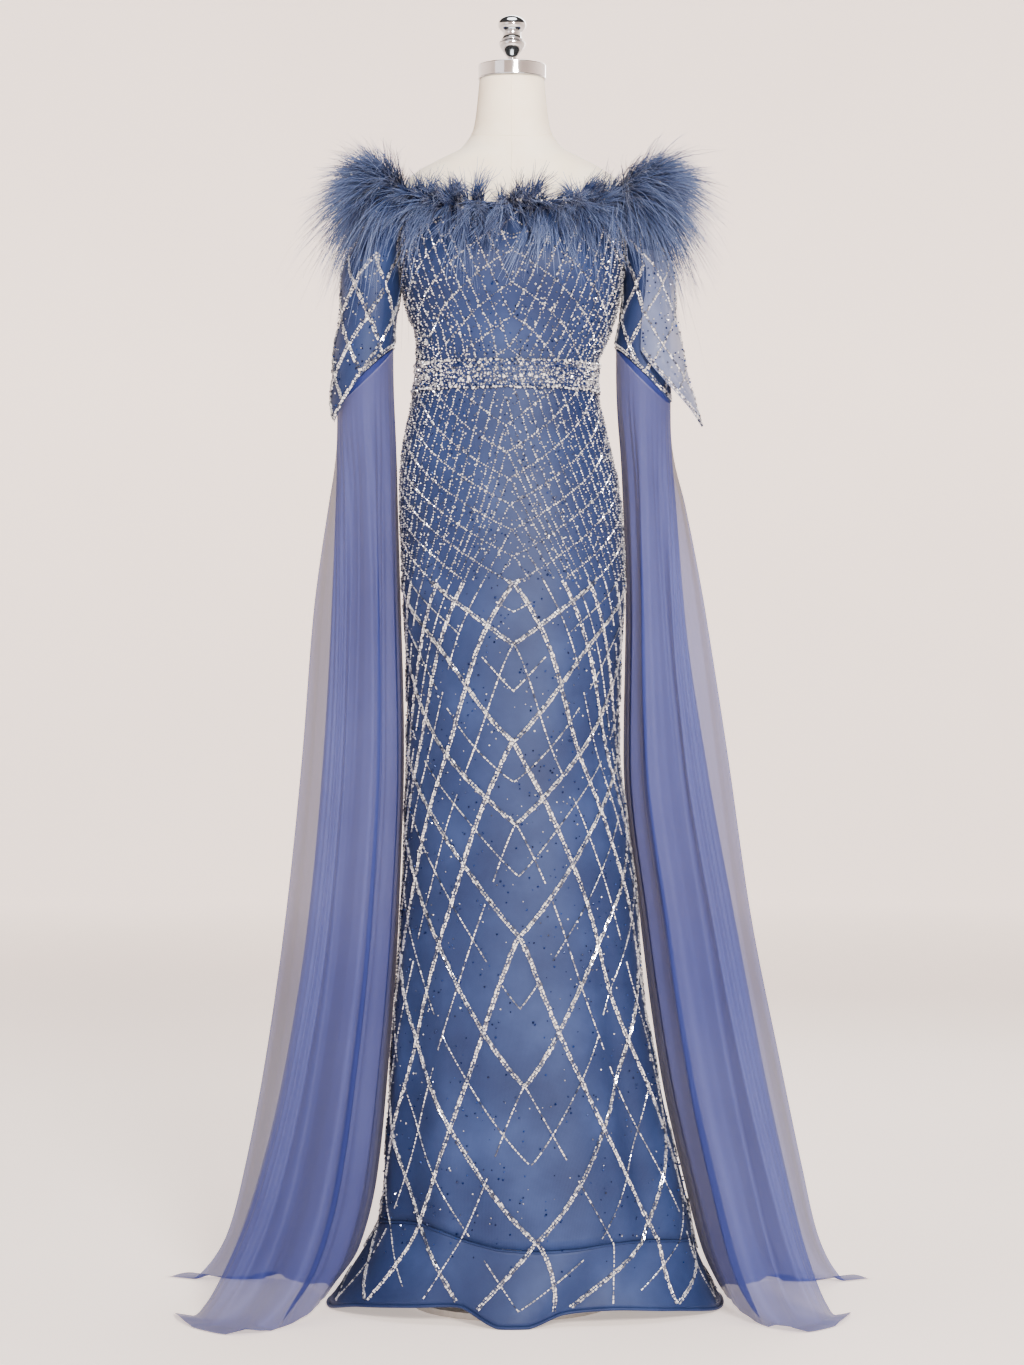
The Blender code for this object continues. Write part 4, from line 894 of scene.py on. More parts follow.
def wing_point(side, t, down):
    """Points of the wing with its folds, joined to the sleeve's edge at its top."""
    t, down = np.broadcast_arrays(np.asarray(t, float), np.asarray(down, float))
    point, lie = wing_base(side, t, down), WING[side].at(down).lie
    along = wing_base(side, t + 0.01, down) - wing_base(side, t - 0.01, down)
    along[..., 2] = 0
    along = unit(along)
    out = np.stack([-along[..., 1], along[..., 0], 0 * t], -1)
    upper, lower = ease(down / WING_KNEE), ease((down - WING_KNEE) / WING_LOWER)
    depth = lean = 0.0
    for fold in WING_FOLDS[side] + FINE_FOLDS:
        wander = FOLD_WANDER * np.sin(down * 5.0 + fold.at * 9.0) if fold in FINE_FOLDS else 0.0
        near = hump(t - fold.at - wander, fold.width)
        amount = fold.top + (fold.mid - fold.top) * upper + (fold.hem - fold.mid) * lower
        depth, lean = depth + amount * near, lean + fold.lean * near * upper
    ripple = RIPPLE_DEPTH * np.sin(t * 88 + 2.2 * np.sin(t * 21)) * (0.6 + 0.4 * np.sin(t * 13)) * upper
    depth = depth + ripple * (1 - lie)
    point = point + out * (depth * (1 - 0.88 * lie))[..., None] + along * (lean * (1 - lie))[..., None]
    point[..., 2] += np.maximum(depth, 0) * 0.40 * lie
    free, drop = ease(down / 0.14), ease(down / 0.30)
    edge = sleeve_point(side, 180 * (1 - np.abs(t)) * np.where(t < 0, -1, 1), 1.0 + 0 * t)
    edge[..., 0] *= SIDE[side]
    edge[..., 2] -= WING_DROP
    pleat = PLEAT_DEPTH * np.sin(t * 95.0) * ease(down / 0.01) * (1 - ease(down / 0.22))
    x = edge[..., 0] + (point[..., 0] + out[..., 0] * pleat - edge[..., 0]) * free
    y = edge[..., 1] + (point[..., 1] + out[..., 1] * pleat - edge[..., 1]) * free
    z = edge[..., 2] - down + (point[..., 2] - edge[..., 2] + down) * drop
    return np.stack([x * SIDE[side], y, np.maximum(z, WING_LOWEST)], -1)


# %% Wing pieces
for side in SIDE:
    t = np.linspace(-WING_EDGE_T, WING_EDGE_T, 181)[:, None]
    share = np.concatenate([np.linspace(0, 0.84, 74)[:-1], np.linspace(0.84, 1.0, 32)])[::-1][None, :]
    grid = facing(side, wing_point(side, t, wing_down(t, share)), "left")
    wing = cloth(f"wing_{side}_chiffon", grid, chiffon)
    declare(wing, "chiffon", "gathered", grid, f"wing_{side}", rests_on=[f"sleeve_{side}_satin"])

# %% [markdown]
# ## Beads with Geometry Nodes
# Thousands of glass beads follow lines on the cloth. Each line is worked out as points with a
# direction, and a node tree puts one small bead on every point: it turns the bead along the line
# and away from the cloth, varies its size, and stores a random painted glint, a brightness that the
# finish paints into the bead's colour. The tree ends in real faces, and the result is kept as a plain mesh.

# %% Trees, their points, and growing them
ATTRIBUTE, STORE = "GeometryNodeInputNamedAttribute", "GeometryNodeStoreNamedAttribute"
RANDOM, ALIGN = "FunctionNodeRandomValue", "FunctionNodeAlignRotationToVector"
INSTANCE, REALIZE = "GeometryNodeInstanceOnPoints", "GeometryNodeRealizeInstances"
MOVE, DRESS, SHADE = "GeometryNodeSetPosition", "GeometryNodeSetMaterial", "GeometryNodeSetShadeSmooth"


def new_tree(name, **sizes):
    """A geometry tree with named inputs; returns it with its inputs and its output node."""
    tree = bpy.data.node_groups.new(name, "GeometryNodeTree")
    tree.interface.new_socket("Geometry", in_out="INPUT", socket_type="NodeSocketGeometry")
    for label, value in sizes.items():
        kind = "NodeSocketInt" if isinstance(value, int) else "NodeSocketFloat"
        tree.interface.new_socket(label, in_out="INPUT", socket_type=kind).default_value = value
    tree.interface.new_socket("Material", in_out="INPUT", socket_type="NodeSocketMaterial")
    tree.interface.new_socket("Geometry", in_out="OUTPUT", socket_type="NodeSocketGeometry")
    return tree, add(tree, "NodeGroupInput").outputs, add(tree, "NodeGroupOutput")


def seeds_of(name, points, **values):
    """Bare points that carry values for a node tree."""
    mesh = bpy.data.meshes.new(name)
    mesh.vertices.add(len(points))
    mesh.vertices.foreach_set("co", np.asarray(points, np.float32).reshape(-1))
    for label, value in values.items():
        value = np.asarray(value, np.float32)
        kind = "FLOAT_VECTOR" if value.ndim == 2 else "FLOAT"
        layer = mesh.attributes.new(label, kind, "POINT")
        layer.data.foreach_set("vector" if value.ndim == 2 else "value", value.reshape(-1))
    return place(bpy.data.objects.new(name, mesh))


def grow(name, seeds, tree, slot, *nodes, **values):
    """Runs a tree on bare points and keeps the result as a plain mesh."""
    change = seeds.modifiers.new("nodes", "NODES")
    change.node_group = tree
    for item in tree.interface.items_tree:
        if item.item_type == "SOCKET" and item.in_out == "INPUT" and item.name in values:
            change[item.identifier] = values[item.name]
    ready = seeds.evaluated_get(bpy.context.evaluated_depsgraph_get())
    mesh = bpy.data.meshes.new_from_object(ready)
    mesh.name = name
    bpy.data.objects.remove(seeds, do_unlink=True)
    thing = place(bpy.data.objects.new(name, mesh))
    settle(thing, slot, *nodes)
    print(name, "triangles", sum(len(p.vertices) - 2 for p in mesh.polygons))


# %% Bead tree
def bead_tree(name, round_bead):
    """One bead on every point: a small sphere, or a short tube, along the point's own way."""
    sizes = dict(Width=0.002, Length=0.004, Unevenness=0.25, Tilt=0.15, Seed=3, Segments=5, Rings=2)
    tree, given, result = new_tree(name, **sizes)
    along, out = [add(tree, ATTRIBUTE, {"Name": label}, data_type="FLOAT_VECTOR") for label in ("along", "out")]
    size = add(tree, ATTRIBUTE, {"Name": "size"}, data_type="FLOAT")
    half = add(tree, MATH, {0: given["Width"], 1: 0.5}, operation="MULTIPLY")
    if round_bead:
        shape = {"Radius": half, "Segments": given["Segments"], "Rings": given["Rings"]}
        bead = add(tree, "GeometryNodeMeshUVSphere", shape)
    else:
        shape = {"Radius": half, "Vertices": given["Segments"], "Depth": given["Length"]}
        bead = add(tree, "GeometryNodeMeshCylinder", shape, fill_type="NGON")
    flat = add(tree, SHADE, {"Geometry": bead, "Shade Smooth": False})
    # Seeds that differ keep the tilt, the size and the painted glint of one bead apart.
    size_seed, painted_glint_seed = [add(tree, MATH, {0: given["Seed"], 1: step}, operation="ADD") for step in (11, 29)]
    wobble = add(tree, RANDOM, {
        "Min": (-1, -1, -1), "Max": (1, 1, 1), "Seed": given["Seed"]}, data_type="FLOAT_VECTOR")
    tilt = add(tree, VECTOR_MATH, {0: wobble, "Scale": given["Tilt"]}, operation="SCALE")
    way = add(tree, VECTOR_MATH, {0: along, 1: tilt}, operation="ADD")
    first = add(tree, ALIGN, {"Vector": way}, axis="Z")
    turn = add(tree, ALIGN, {"Rotation": first, "Vector": out}, axis="X", pivot_axis="Z")
    chance = add(tree, RANDOM, {"Min": 0.0, "Max": 1.0, "Seed": size_seed}, data_type="FLOAT")
    loss = add(tree, MATH, {0: chance, 1: given["Unevenness"]}, operation="MULTIPLY")
    even = add(tree, MATH, {0: 1.0, 1: loss}, operation="SUBTRACT")
    scale = add(tree, MATH, {0: even, 1: size}, operation="MULTIPLY")
    put = add(tree, INSTANCE, {"Points": given["Geometry"], "Instance": flat, "Rotation": turn, "Scale": scale})
    # Painted glint: a random brightness for each bead, which the finishes paint into its colour as highlights.
    painted_glint = add(tree, RANDOM, {"Min": 0.0, "Max": 1.0, "Seed": painted_glint_seed}, data_type="FLOAT")
    marked = add(tree, STORE, {
        "Geometry": put, "Name": "painted_glint", "Value": painted_glint}, data_type="FLOAT", domain="INSTANCE")
    real = add(tree, REALIZE, {"Geometry": marked})
    feed(result, {"Geometry": add(tree, DRESS, {"Geometry": real, "Material": given["Material"]})})
    return tree


bugle_tree, seed_tree = bead_tree("bugle_beads", False), bead_tree("round_beads", True)
print("bead trees", len(bugle_tree.nodes), len(seed_tree.nodes), "nodes")

# %% Bead finishes
# Silver-lined glass, cut and drawn. Its colour runs from grey to white by its painted glint: painted
# highlights, a brightness picked at random for each bead, standing in for its lining facing the lamp or not.
silver, tree, shader = finish("silver_lined_glass", {
    "Metallic": 0.55, "Roughness": 0.2, "Coat Weight": 0.4, "Coat Roughness": 0.08})
painted_glint = add(tree, "ShaderNodeAttribute", attribute_name="painted_glint").outputs["Fac"]
feed(shader, {"Base Color": add(tree, RAMP, {"Fac": painted_glint}, [
    (0.0, "#50576C"), (0.2, "#9A9DAA"), (0.42, "#D8D9DD"), (0.7, "#FBFAF9"), (1.0, "#FFFFFF")])})

# Dark blue cut glass: nearly black from most sides, with a clear coat's small hard highlight. Its
# painted glint, picked at random for each bead, paints a few beads a paler blue as painted highlights.
navy, tree, shader = finish("navy_cut_glass", {
    "Metallic": 0.25, "Roughness": 0.14, "Coat Weight": 0.6, "Coat Roughness": 0.05})
painted_glint = add(tree, "ShaderNodeAttribute", attribute_name="painted_glint").outputs["Fac"]
feed(shader, {"Base Color": add(tree, RAMP, {"Fac": painted_glint}, [
    (0.0, "#14224A"), (0.7, "#22386E"), (1.0, "#3E5A9C")])})
print("bead finishes", silver.name, navy.name)

# %% [markdown]
# ## The lattice
# The bead lines form diamonds that stretch towards the hem. Seen from the centre front there are
# two families on each half: shallow lines that fall to the middle, and steep lines that fan out from
# the waist. Heights are counted in phases, so that lines that start a quarter phase apart always
# cross on the centre line. Shallow lines are thick double rows and fine rows in turn; of the steep
# ones, one in four is thick and one in four fine. Above the hips they all close up to rows of seeds.

# %% Gown surface and line families
CROSSINGS = Sections("phase z", [
    (-4.0, 1.1500), (-3.75, 1.1254), (-3.5, 1.0902), (-3.0, 1.0244), (-2.5, 0.9610), (-2.0, 0.8954),
    (-1.5, 0.8216), (-1.0, 0.7042), (-0.5, 0.6037), (0.0, 0.4682), (0.5, 0.2878), (1.0, 0.1015), (1.32, 0.0),
])
STEEP_RATE = Sections("phase rate", [
    (-8.0, 24), (-3.9, 24), (-3.7, 13), (-3.0, 17), (-2.5, 24), (-2.0, 30),
    (-1.0, 34), (0.0, 40), (0.5, 50), (1.4, 52),
])
SHALLOW_RATE = 83.0  # degrees round the body for each phase
FIRST_PHASE, TOP_PHASE, HEM_PHASE, QUARTER = -8.0, -4.0, 1.32, 0.25
BODICE_PHASE, BODICE_STEEP, BODICE_SHALLOW = 0.156, 26.0, 88.0
BODICE_FIRST, BODICE_START, BODICE_LAST = 0.1, 0.2, 1.5


def gown_point(angle, z, out=0.0):
    """The gown's outside at an angle and a height, from the flounce to the neckline."""
    angle, z = np.broadcast_arrays(np.asarray(angle, float), np.asarray(z, float))
    seam, skirt = seam_height(angle), skirt_point(angle, np.maximum(z, seam_height(angle)), out)
    share = np.clip((seam - z) / (seam - hem_lift(angle)), 0, 1)
    upper = np.where((z > WAIST_Z)[..., None], figure(angle, z, out + 0 * z), skirt)
    return np.where((z < seam)[..., None], flounce_point(angle, share, out), upper)


def surface_normal(surface, a, z):
    across = surface(a + 0.4, z) - surface(a - 0.4, z)
    up = surface(a, z + 0.0015) - surface(a, z - 0.0015)
    return unit(np.cross(across, up))


def bead_row(surface, a, z, pitch, sideways=0.0, start=0.5):
    """Points, directions and outward ways at even steps along a line on a surface."""
    if len(a) < 3:
        return np.zeros((0, 9))
    path = surface(a, z)
    run = np.concatenate([[0], np.linalg.norm(np.diff(path, axis=0), axis=-1).cumsum()])
    if run[-1] < 2 * pitch:
        return np.zeros((0, 9))
    steps = np.arange(pitch * start, run[-1], pitch)
    before, here, after = [
        surface(np.interp(steps + by, run, a), np.interp(steps + by, run, z)) for by in (-0.001, 0, 0.001)]
    out = surface_normal(surface, np.interp(steps, run, a), np.interp(steps, run, z))
    along = unit(after - before)
    return np.concatenate([here + np.cross(out, along) * sideways, along, out], -1)


def steep_line(start):
    """Angles and heights of a steep line that leaves the centre at a phase."""
    phase = np.linspace(FIRST_PHASE, HEM_PHASE, 1400)
    rate = (STEEP_RATE.at(phase[1:]).rate + STEEP_RATE.at(phase[:-1]).rate) / 2
    angle = np.concatenate([[0], (rate * np.diff(phase)).cumsum()])
    angle = angle - np.interp(start, phase, angle)
    keep = (phase >= max(start, TOP_PHASE)) & (angle <= 90)
    return angle[keep], CROSSINGS.at(phase[keep]).z


def shallow_line(end):
    """Angles and heights of a shallow line that falls to the centre at a phase."""
    phase = np.linspace(max(end - 90 / SHALLOW_RATE, TOP_PHASE), min(end, HEM_PHASE), 300)
    return SHALLOW_RATE * (end - phase), CROSSINGS.at(phase).z


def bodice_line(angle, phase):
    keep = (angle >= 0) & (angle <= 90)
    return angle[keep], WAIST_Z + BODICE_PHASE * phase[keep]


def skirt_lines():
    """Family, number, angles and heights of each line on one half of the skirt."""
    lines = [("steep", k, *steep_line(k * QUARTER)) for k in range(-32, 6)]
    lines += [("shallow", k, *shallow_line(k * QUARTER)) for k in range(-14, 10)]
    return [line for line in lines if len(line[2]) > 6]


def bodice_lines():
    lines = []
    for k in range(-13, 6):
        phase = np.linspace(BODICE_FIRST, BODICE_LAST, 240)
        lines.append(("steep", k, *bodice_line(BODICE_STEEP * (phase - (BODICE_START + k * QUARTER)), phase)))
    for k in range(0, 9):
        end = BODICE_START + k * QUARTER
        phase = np.linspace(BODICE_FIRST, min(end, BODICE_LAST), 240)
        lines.append(("shallow", k, *bodice_line(BODICE_SHALLOW * (end - phase), phase)))
    return [line for line in lines if len(line[2]) > 6]


print("lines", len(skirt_lines()), "on each half of the skirt,", len(bodice_lines()), "on the bodice")

# %% Rows of beads on the gown
BEAD_OUT = 0.0011
THICK_ROW, THICK_PITCH, THICK_APART, THICK_LENGTH = 0.0026, 0.0039, 0.0014, 0.0034
FINE_PITCH, FINE_WIDTH, FINE_LENGTH = 0.0054, 0.0021, 0.0045
SEEDS_ABOVE, SEED_PITCH, SEED_SIZE = 0.90, 0.0033, 0.0031
WEIGHT = {"steep": {0: 2, 2: 1}, "shallow": {0: 2, 1: 1, 2: 2, 3: 1}}  # by quarter phase; 2 is thick
rng = np.random.default_rng(41)


def on_gown(a, z):
    return gown_point(a, z, BEAD_OUT)


def runs(a, z, keep):
    """The stretches of a line where keep holds."""
    held = np.arange(len(a))[keep]
    for part in np.split(held, np.where(np.diff(held) > 1)[0] + 1):
        if len(part) > 3:
            yield a[part], z[part]


def lattice_rows(centre, lines, low_of, high_of, seeds_above):
    """Rows on one panel: thick double rows, fine rows, and seeds where the lattice is tight."""
    thick, fine, tight = [np.zeros((0, 9))], [np.zeros((0, 9))], []
    for family, k, angle, z in lines:
        weight = WEIGHT[family].get(k % 4, 0)
        for side in (-1, 1):
            a = centre + side * angle
            keep = (z > low_of(a)) & (z < high_of(a)) & (angle < 89.6)
            for ap, zp in runs(a, z, keep & (z < seeds_above)):
                if weight == 2:
                    start = rng.uniform(0.2, 0.9)
                    for apart in (THICK_APART, -THICK_APART):
                        thick.append(bead_row(on_gown, ap, zp, THICK_PITCH, apart, start + apart * 300))
                elif weight == 1:
                    row = bead_row(on_gown, ap, zp, FINE_PITCH)
                    fine.append(row[np.sin(row[:, 2] * 31.0 + k) < 0.93])  # a few short gaps
            for ap, zp in runs(a, z, keep & (z >= seeds_above)):
                tight.append(bead_row(on_gown, ap, zp, SEED_PITCH, 0.0, rng.uniform(0.2, 0.9)))
    return np.concatenate(thick), np.concatenate(fine), np.concatenate(tight)


def beads(name, rows, tree, material, width, length=0.004, slot="beaded_net", loose=0.0, sizes=(1, 1), **values):
    """One piece of beads from rows of points, ways and outward ways."""
    settings = {"Seed": 5, "Tilt": 0.16, "Unevenness": 0.3, **values}
    points = rows[:, :3] + rng.normal(0, 1, (len(rows), 3)) * loose
    seeds = seeds_of(name, points, along=rows[:, 3:6], out=rows[:, 6:9], size=rng.uniform(*sizes, len(rows)))
    grow(name, seeds, tree, slot, Width=width, Length=length, Material=material, **settings)


def above_hem(a):
    return hem_lift(a) + 0.006


def under_belt(a):
    return BELT_LOW_Z - 0.001 + 0 * a


def over_belt(a):
    return BELT_TOP_Z + 0.001 + 0 * a


def under_neckline(a):
    return bodice_top(a) - 0.004


for name, centre in PANELS.items():
    thick, fine, tight = lattice_rows(centre, skirt_lines(), above_hem, under_belt, SEEDS_ABOVE)
    beads(f"skirt_{name}_thick_rows", thick, bugle_tree, silver, THICK_ROW, THICK_LENGTH,
          loose=0.00028, sizes=(0.8, 1.2), Seed=7)
    beads(f"skirt_{name}_fine_rows", fine, bugle_tree, silver, FINE_WIDTH, FINE_LENGTH, Seed=9, Tilt=0.06)
    beads(f"skirt_{name}_tight_rows", tight, seed_tree, silver, SEED_SIZE,
          loose=0.0003, sizes=(0.65, 1.3), Seed=11)
    tight = lattice_rows(centre, bodice_lines(), over_belt, under_neckline, 0.0)[2]
    beads(f"bodice_{name}_rows", tight, seed_tree, silver, SEED_SIZE, loose=0.0004, sizes=(0.7, 1.4), Seed=13)

# %% [markdown]
# ## Scattered beads, belt and sleeve beads
# Between the lines lie single round beads, silver and navy, and the waist is crusted with them. The
# belt is a band of net with a jittered grid of round beads at their real 3 mm pitch: jitter keeps
# them from reading as knitting, and the grid keeps them from leaving bald spots. The sleeves carry
# the same diamonds as the skirt, smaller, and every sleeve edge ends in a double row.

# %% Scattered beads and the neckline arcs
def scattered(surface, a, z):
    """Beads at given places of a surface, each lying along a way of its own."""
    here, out = surface(a, z), surface_normal(surface, a, z)
    along = unit(np.cross(out, rng.normal(size=here.shape)))
    return np.concatenate([here, along, out], -1)


def random_places(centre, *bands):
    """Angles and heights at random, from the count and the heights of each band."""
    places = [(centre + rng.uniform(-89, 89, count), rng.uniform(low, high, count)) for count, low, high in bands]
    return np.concatenate([a for a, _ in places]), np.concatenate([z for _, z in places])


SILVER_BANDS = [(1100, 0.93, 1.132), (330, 0.55, 0.93), (190, 0.10, 0.55), (900, 1.175, 1.325)]
NAVY_BANDS = [(360, 0.90, 1.132), (900, 0.06, 0.90), (260, 1.175, 1.32)]
for name, centre in PANELS.items():
    rows = scattered(on_gown, *random_places(centre, *SILVER_BANDS))
    beads(f"gown_{name}_silver_seeds", rows, seed_tree, silver, 0.0028, sizes=(0.55, 1.3), Seed=17)
    rows = scattered(on_gown, *random_places(centre, *NAVY_BANDS))
    beads(f"gown_{name}_navy_seeds", rows, seed_tree, navy, SEED_SIZE, sizes=(0.65, 1.25), Seed=19)

ARC_REACH, ARC_SPAN, ARC_Z, ARC_RISE, ARC_APART = 64, 62, 1.316, 0.026, 0.0042
turn = np.linspace(-ARC_REACH, ARC_REACH, 260)
arcs = ARC_Z + ARC_RISE * np.abs(np.sin(np.radians(turn * 180 / ARC_SPAN)))
rows = [bead_row(on_gown, turn, arcs + lift, 0.0040, 0.0, 0.4) for lift in (0.0, ARC_APART)]
beads("neckline_arcs", np.concatenate(rows), seed_tree, silver, SEED_SIZE, loose=0.0004, sizes=(0.8, 1.3), Seed=23)

# %% Belt band and its crust of beads
BELT_OUT, BELT_PITCH, BELT_REACH = CLOTH_WALL + EASE_GAP, 0.0030, 89.5
BELT_HEIGHT = BELT_TOP_Z - BELT_LOW_Z
DARK_FROM, LARGE_FROM = 0.74, 0.88  # shares of the crust where dark beads and stones begin


def on_belt(a, z):
    return figure(a, z, BELT_OUT + 0.0009)


for name, centre in PANELS.items():
    grid = figure(panel(centre), BELT_LOW_Z + BELT_HEIGHT * np.linspace(0, 1, 9)[None, :], BELT_OUT)
    band = cloth(f"belt_{name}_band", grid, satin, wall=BAND_WALL)
    rests = [f"skirt_{name}_satin", f"bodice_{name}_satin"]
    declare(band, "belt_beads", "stretched", grid, f"belt_{name}", rests_on=rests)
    width = np.linalg.norm(np.diff(grid, axis=0), axis=-1).sum(axis=0).max()
    across, up = int(width / BELT_PITCH), int(BELT_HEIGHT / BELT_PITCH)
    i, j = np.meshgrid(np.arange(across), np.arange(up + 1), indexing="ij")
    a = centre - BELT_REACH + 2 * BELT_REACH * (i + 0.5 * (j % 2) + rng.uniform(-0.35, 0.35, i.shape)) / across
    z = BELT_LOW_Z + BELT_HEIGHT * (j + rng.uniform(-0.3, 0.3, i.shape)) / up
    rows = scattered(on_belt, a.reshape(-1), z.reshape(-1))
    kind = rng.random(len(rows))
    small, large = kind < DARK_FROM, kind >= LARGE_FROM
    setting = dict(slot="belt_beads", loose=0.0004)
    beads(f"belt_{name}_beads", rows[small], seed_tree, silver, SEED_SIZE, sizes=(0.6, 1.3), Seed=29, **setting)
    beads(f"belt_{name}_dark_beads", rows[~small & ~large], seed_tree, navy, SEED_SIZE, Seed=31, **setting)
    edge = centre + np.linspace(-BELT_REACH, BELT_REACH, 400)
    low = BELT_LOW_Z - 0.0015 * np.abs(np.sin(np.radians(edge * 6)))
    stones = [rows[large], bead_row(on_belt, edge, low, 0.0058)]
    stones.append(bead_row(on_belt, edge, BELT_TOP_Z + 0 * edge, 0.0066))
    beads(f"belt_{name}_stones", np.concatenate(stones), seed_tree, silver, 0.0047, sizes=(0.8, 1.1),
          Seed=37, Segments=7, Rings=4, **setting)

# %% Sleeve and overlay beads
SLEEVE_FAN = 800.0  # degrees of turn for each metre that a line falls
SLEEVE_LINES, EDGE_PITCH = 6, 0.0042


def sleeve_at(side, over):
    """The outside of a sleeve, or of its overlay, by turn and height, with its lower and upper edge."""
    size = POINTS[side]

    def low_of(turn):
        turn = np.asarray(turn, float) * SIDE[side]
        if over:
            away = np.minimum(np.abs(turn - size["angle"]) / size["half_turn"], 1.0)
            return size["side_z"] + (size["tip_z"] - size["side_z"]) * (1 - away)
        drop = (1 + np.cos(np.radians(turn))) / 2
        return SLEEVE_EDGE_INNER_Z + (SLEEVE_EDGE_OUTER_Z - SLEEVE_EDGE_INNER_Z) * drop

    def top_of(turn):
        return size["top"] + 0 * turn if over else armhole_curve(turn * SIDE[side])[..., 2]

    def at(turn, z):
        share = (top_of(turn) - z) / (top_of(turn) - low_of(turn))
        return (overlay_point if over else sleeve_point)(side, turn * SIDE[side], share, BEAD_OUT)

    return at, low_of, top_of


def crossed_rows(at, low_of, top_of, first, last, apart):
    """Two families of rows that cross on a tube, between two turns."""
    rows = []
    for way in (-1, 1):
        for k in range(-SLEEVE_LINES, SLEEVE_LINES):
            z = np.linspace(1.10, 1.37, 240)
            turn = way * (SLEEVE_FAN * (z - 1.21) + 360 / SLEEVE_LINES * k + 14)
            keep = (turn > first) & (turn < last) & (z > low_of(turn) + 0.006) & (z < top_of(turn))
            if keep.sum() > 6:
                for sideways in apart:
                    rows.append(bead_row(at, turn[keep], z[keep], THICK_PITCH, sideways, rng.uniform(0.2, 0.9)))
    return rows


for side, size in POINTS.items():
    at, low_of, top_of = sleeve_at(side, False)
    shown = (-180, 180) if side == "right" else (116, 312)  # the left overlay is satin and hides the rest
    rows = crossed_rows(at, low_of, lambda turn: top_of(turn) - 0.006, *shown, (-THICK_APART, THICK_APART))
    turn = np.linspace(-179.5, 179.5, 300)
    rows += [bead_row(at, turn, low_of(turn) + up, EDGE_PITCH) for up in (0.0025, 0.0060)]
    beads(f"sleeve_{side}_rows", np.concatenate(rows), bugle_tree, silver, THICK_ROW, 0.0032,
          loose=0.0003, sizes=(0.8, 1.2), Seed=43)
    at, low_of, top_of = sleeve_at(side, True)
    middle, reach = size["angle"] * SIDE[side], size["half_turn"] - 3
    first, last = middle - reach, middle + reach
    apart = (-THICK_APART, THICK_APART) if side == "left" else (0.0,)
    rows = crossed_rows(at, low_of, lambda turn: top_of(turn) - 0.004, first, last, apart)
    turn = np.linspace(first, last, 300)
    rows += [bead_row(at, turn, low_of(turn) + up, EDGE_PITCH) for up in (0.0030, 0.0066)]
    beads(f"sleeve_point_{side}_rows", np.concatenate(rows), bugle_tree, silver, 0.0028, 0.0032,
          loose=0.0003, sizes=(0.8, 1.2), Seed=47)
    turn = rng.uniform(first, last, 190)
    z = low_of(turn) + 0.008 + rng.uniform(0, 1, 190) * (size["top"] - 0.012 - low_of(turn))
    dark, pale = np.split(scattered(at, turn, z), 2)
    beads(f"sleeve_point_{side}_navy", dark, seed_tree, navy, 0.0032, sizes=(0.7, 1.2), Seed=53)
    beads(f"sleeve_point_{side}_seeds", pale, seed_tree, silver, SEED_SIZE, sizes=(0.7, 1.3), Seed=59)

# %% [markdown]
# ## Feather trim
# Ostrich barbs grow in tufts: some two dozen share one root and one way, then each droops and curls
# by itself. That is what makes a trim look soft and still clumped. Every tuft is set on the neckline
# ring, as the CAD locks are; a node tree puts a tapered ribbon on each point and then bends it, more
# towards the tip, by two values that the point carries.

# %% Barb tree and finish
def barb_tree():
    """One tapered ribbon on every point, bent by the point's own bend and wave."""
    tree, given, result = new_tree("feather_barbs", Width=0.0011, Taper=0.82)
    face, way, bend, wave = [add(tree, ATTRIBUTE, {"Name": label}, data_type="FLOAT_VECTOR")
                             for label in ("face", "along", "bend", "wave")]
    reach, t = [add(tree, ATTRIBUTE, {"Name": label}, data_type="FLOAT") for label in ("reach", "t")]
    strip = add(tree, "GeometryNodeMeshGrid", {
        "Size X": given["Width"], "Size Y": 1.0, "Vertices X": 2, "Vertices Y": 6})
    flat = add(tree, SPLIT, {"Vector": add(tree, "GeometryNodeInputPosition")}).outputs
    height = add(tree, MATH, {0: flat["Y"], 1: 0.5}, operation="ADD")
    loss = add(tree, MATH, {0: height, 1: given["Taper"]}, operation="MULTIPLY")
    thin = add(tree, MATH, {0: 1.0, 1: loss}, operation="SUBTRACT")
    narrow = add(tree, MATH, {0: flat["X"], 1: thin}, operation="MULTIPLY")
    spot = add(tree, COMBINE, {"X": narrow, "Y": 0.0, "Z": height})
    marked = add(tree, STORE, {"Geometry": strip, "Name": "t", "Value": height}, data_type="FLOAT", domain="POINT")
    ribbon = add(tree, MOVE, {"Geometry": marked, "Position": spot})
    first = add(tree, ALIGN, {"Vector": way}, axis="Z")
    turn = add(tree, ALIGN, {"Rotation": first, "Vector": face}, axis="Y", pivot_axis="Z")
    scale = add(tree, COMBINE, {"X": 1.0, "Y": 1.0, "Z": reach})
    put = add(tree, INSTANCE, {"Points": given["Geometry"], "Instance": ribbon, "Rotation": turn, "Scale": scale})
    real = add(tree, REALIZE, {"Geometry": put})
    fall = add(tree, MATH, {0: t, 1: 1.8}, operation="POWER")
    droop = add(tree, VECTOR_MATH, {0: bend, "Scale": fall}, operation="SCALE")
    phase = add(tree, MATH, {0: t, 1: 6.5}, operation="MULTIPLY")
    swing = add(tree, MATH, {0: phase}, operation="SINE")
    curl = add(tree, VECTOR_MATH, {0: wave, "Scale": swing}, operation="SCALE")
    shift = add(tree, VECTOR_MATH, {0: droop, 1: curl}, operation="ADD")
    bent = add(tree, MOVE, {"Geometry": real, "Offset": shift})
    smooth = add(tree, SHADE, {"Geometry": bent, "Shade Smooth": True})
    feed(result, {"Geometry": add(tree, DRESS, {"Geometry": smooth, "Material": given["Material"]})})
    return tree


barbs_tree = barb_tree()
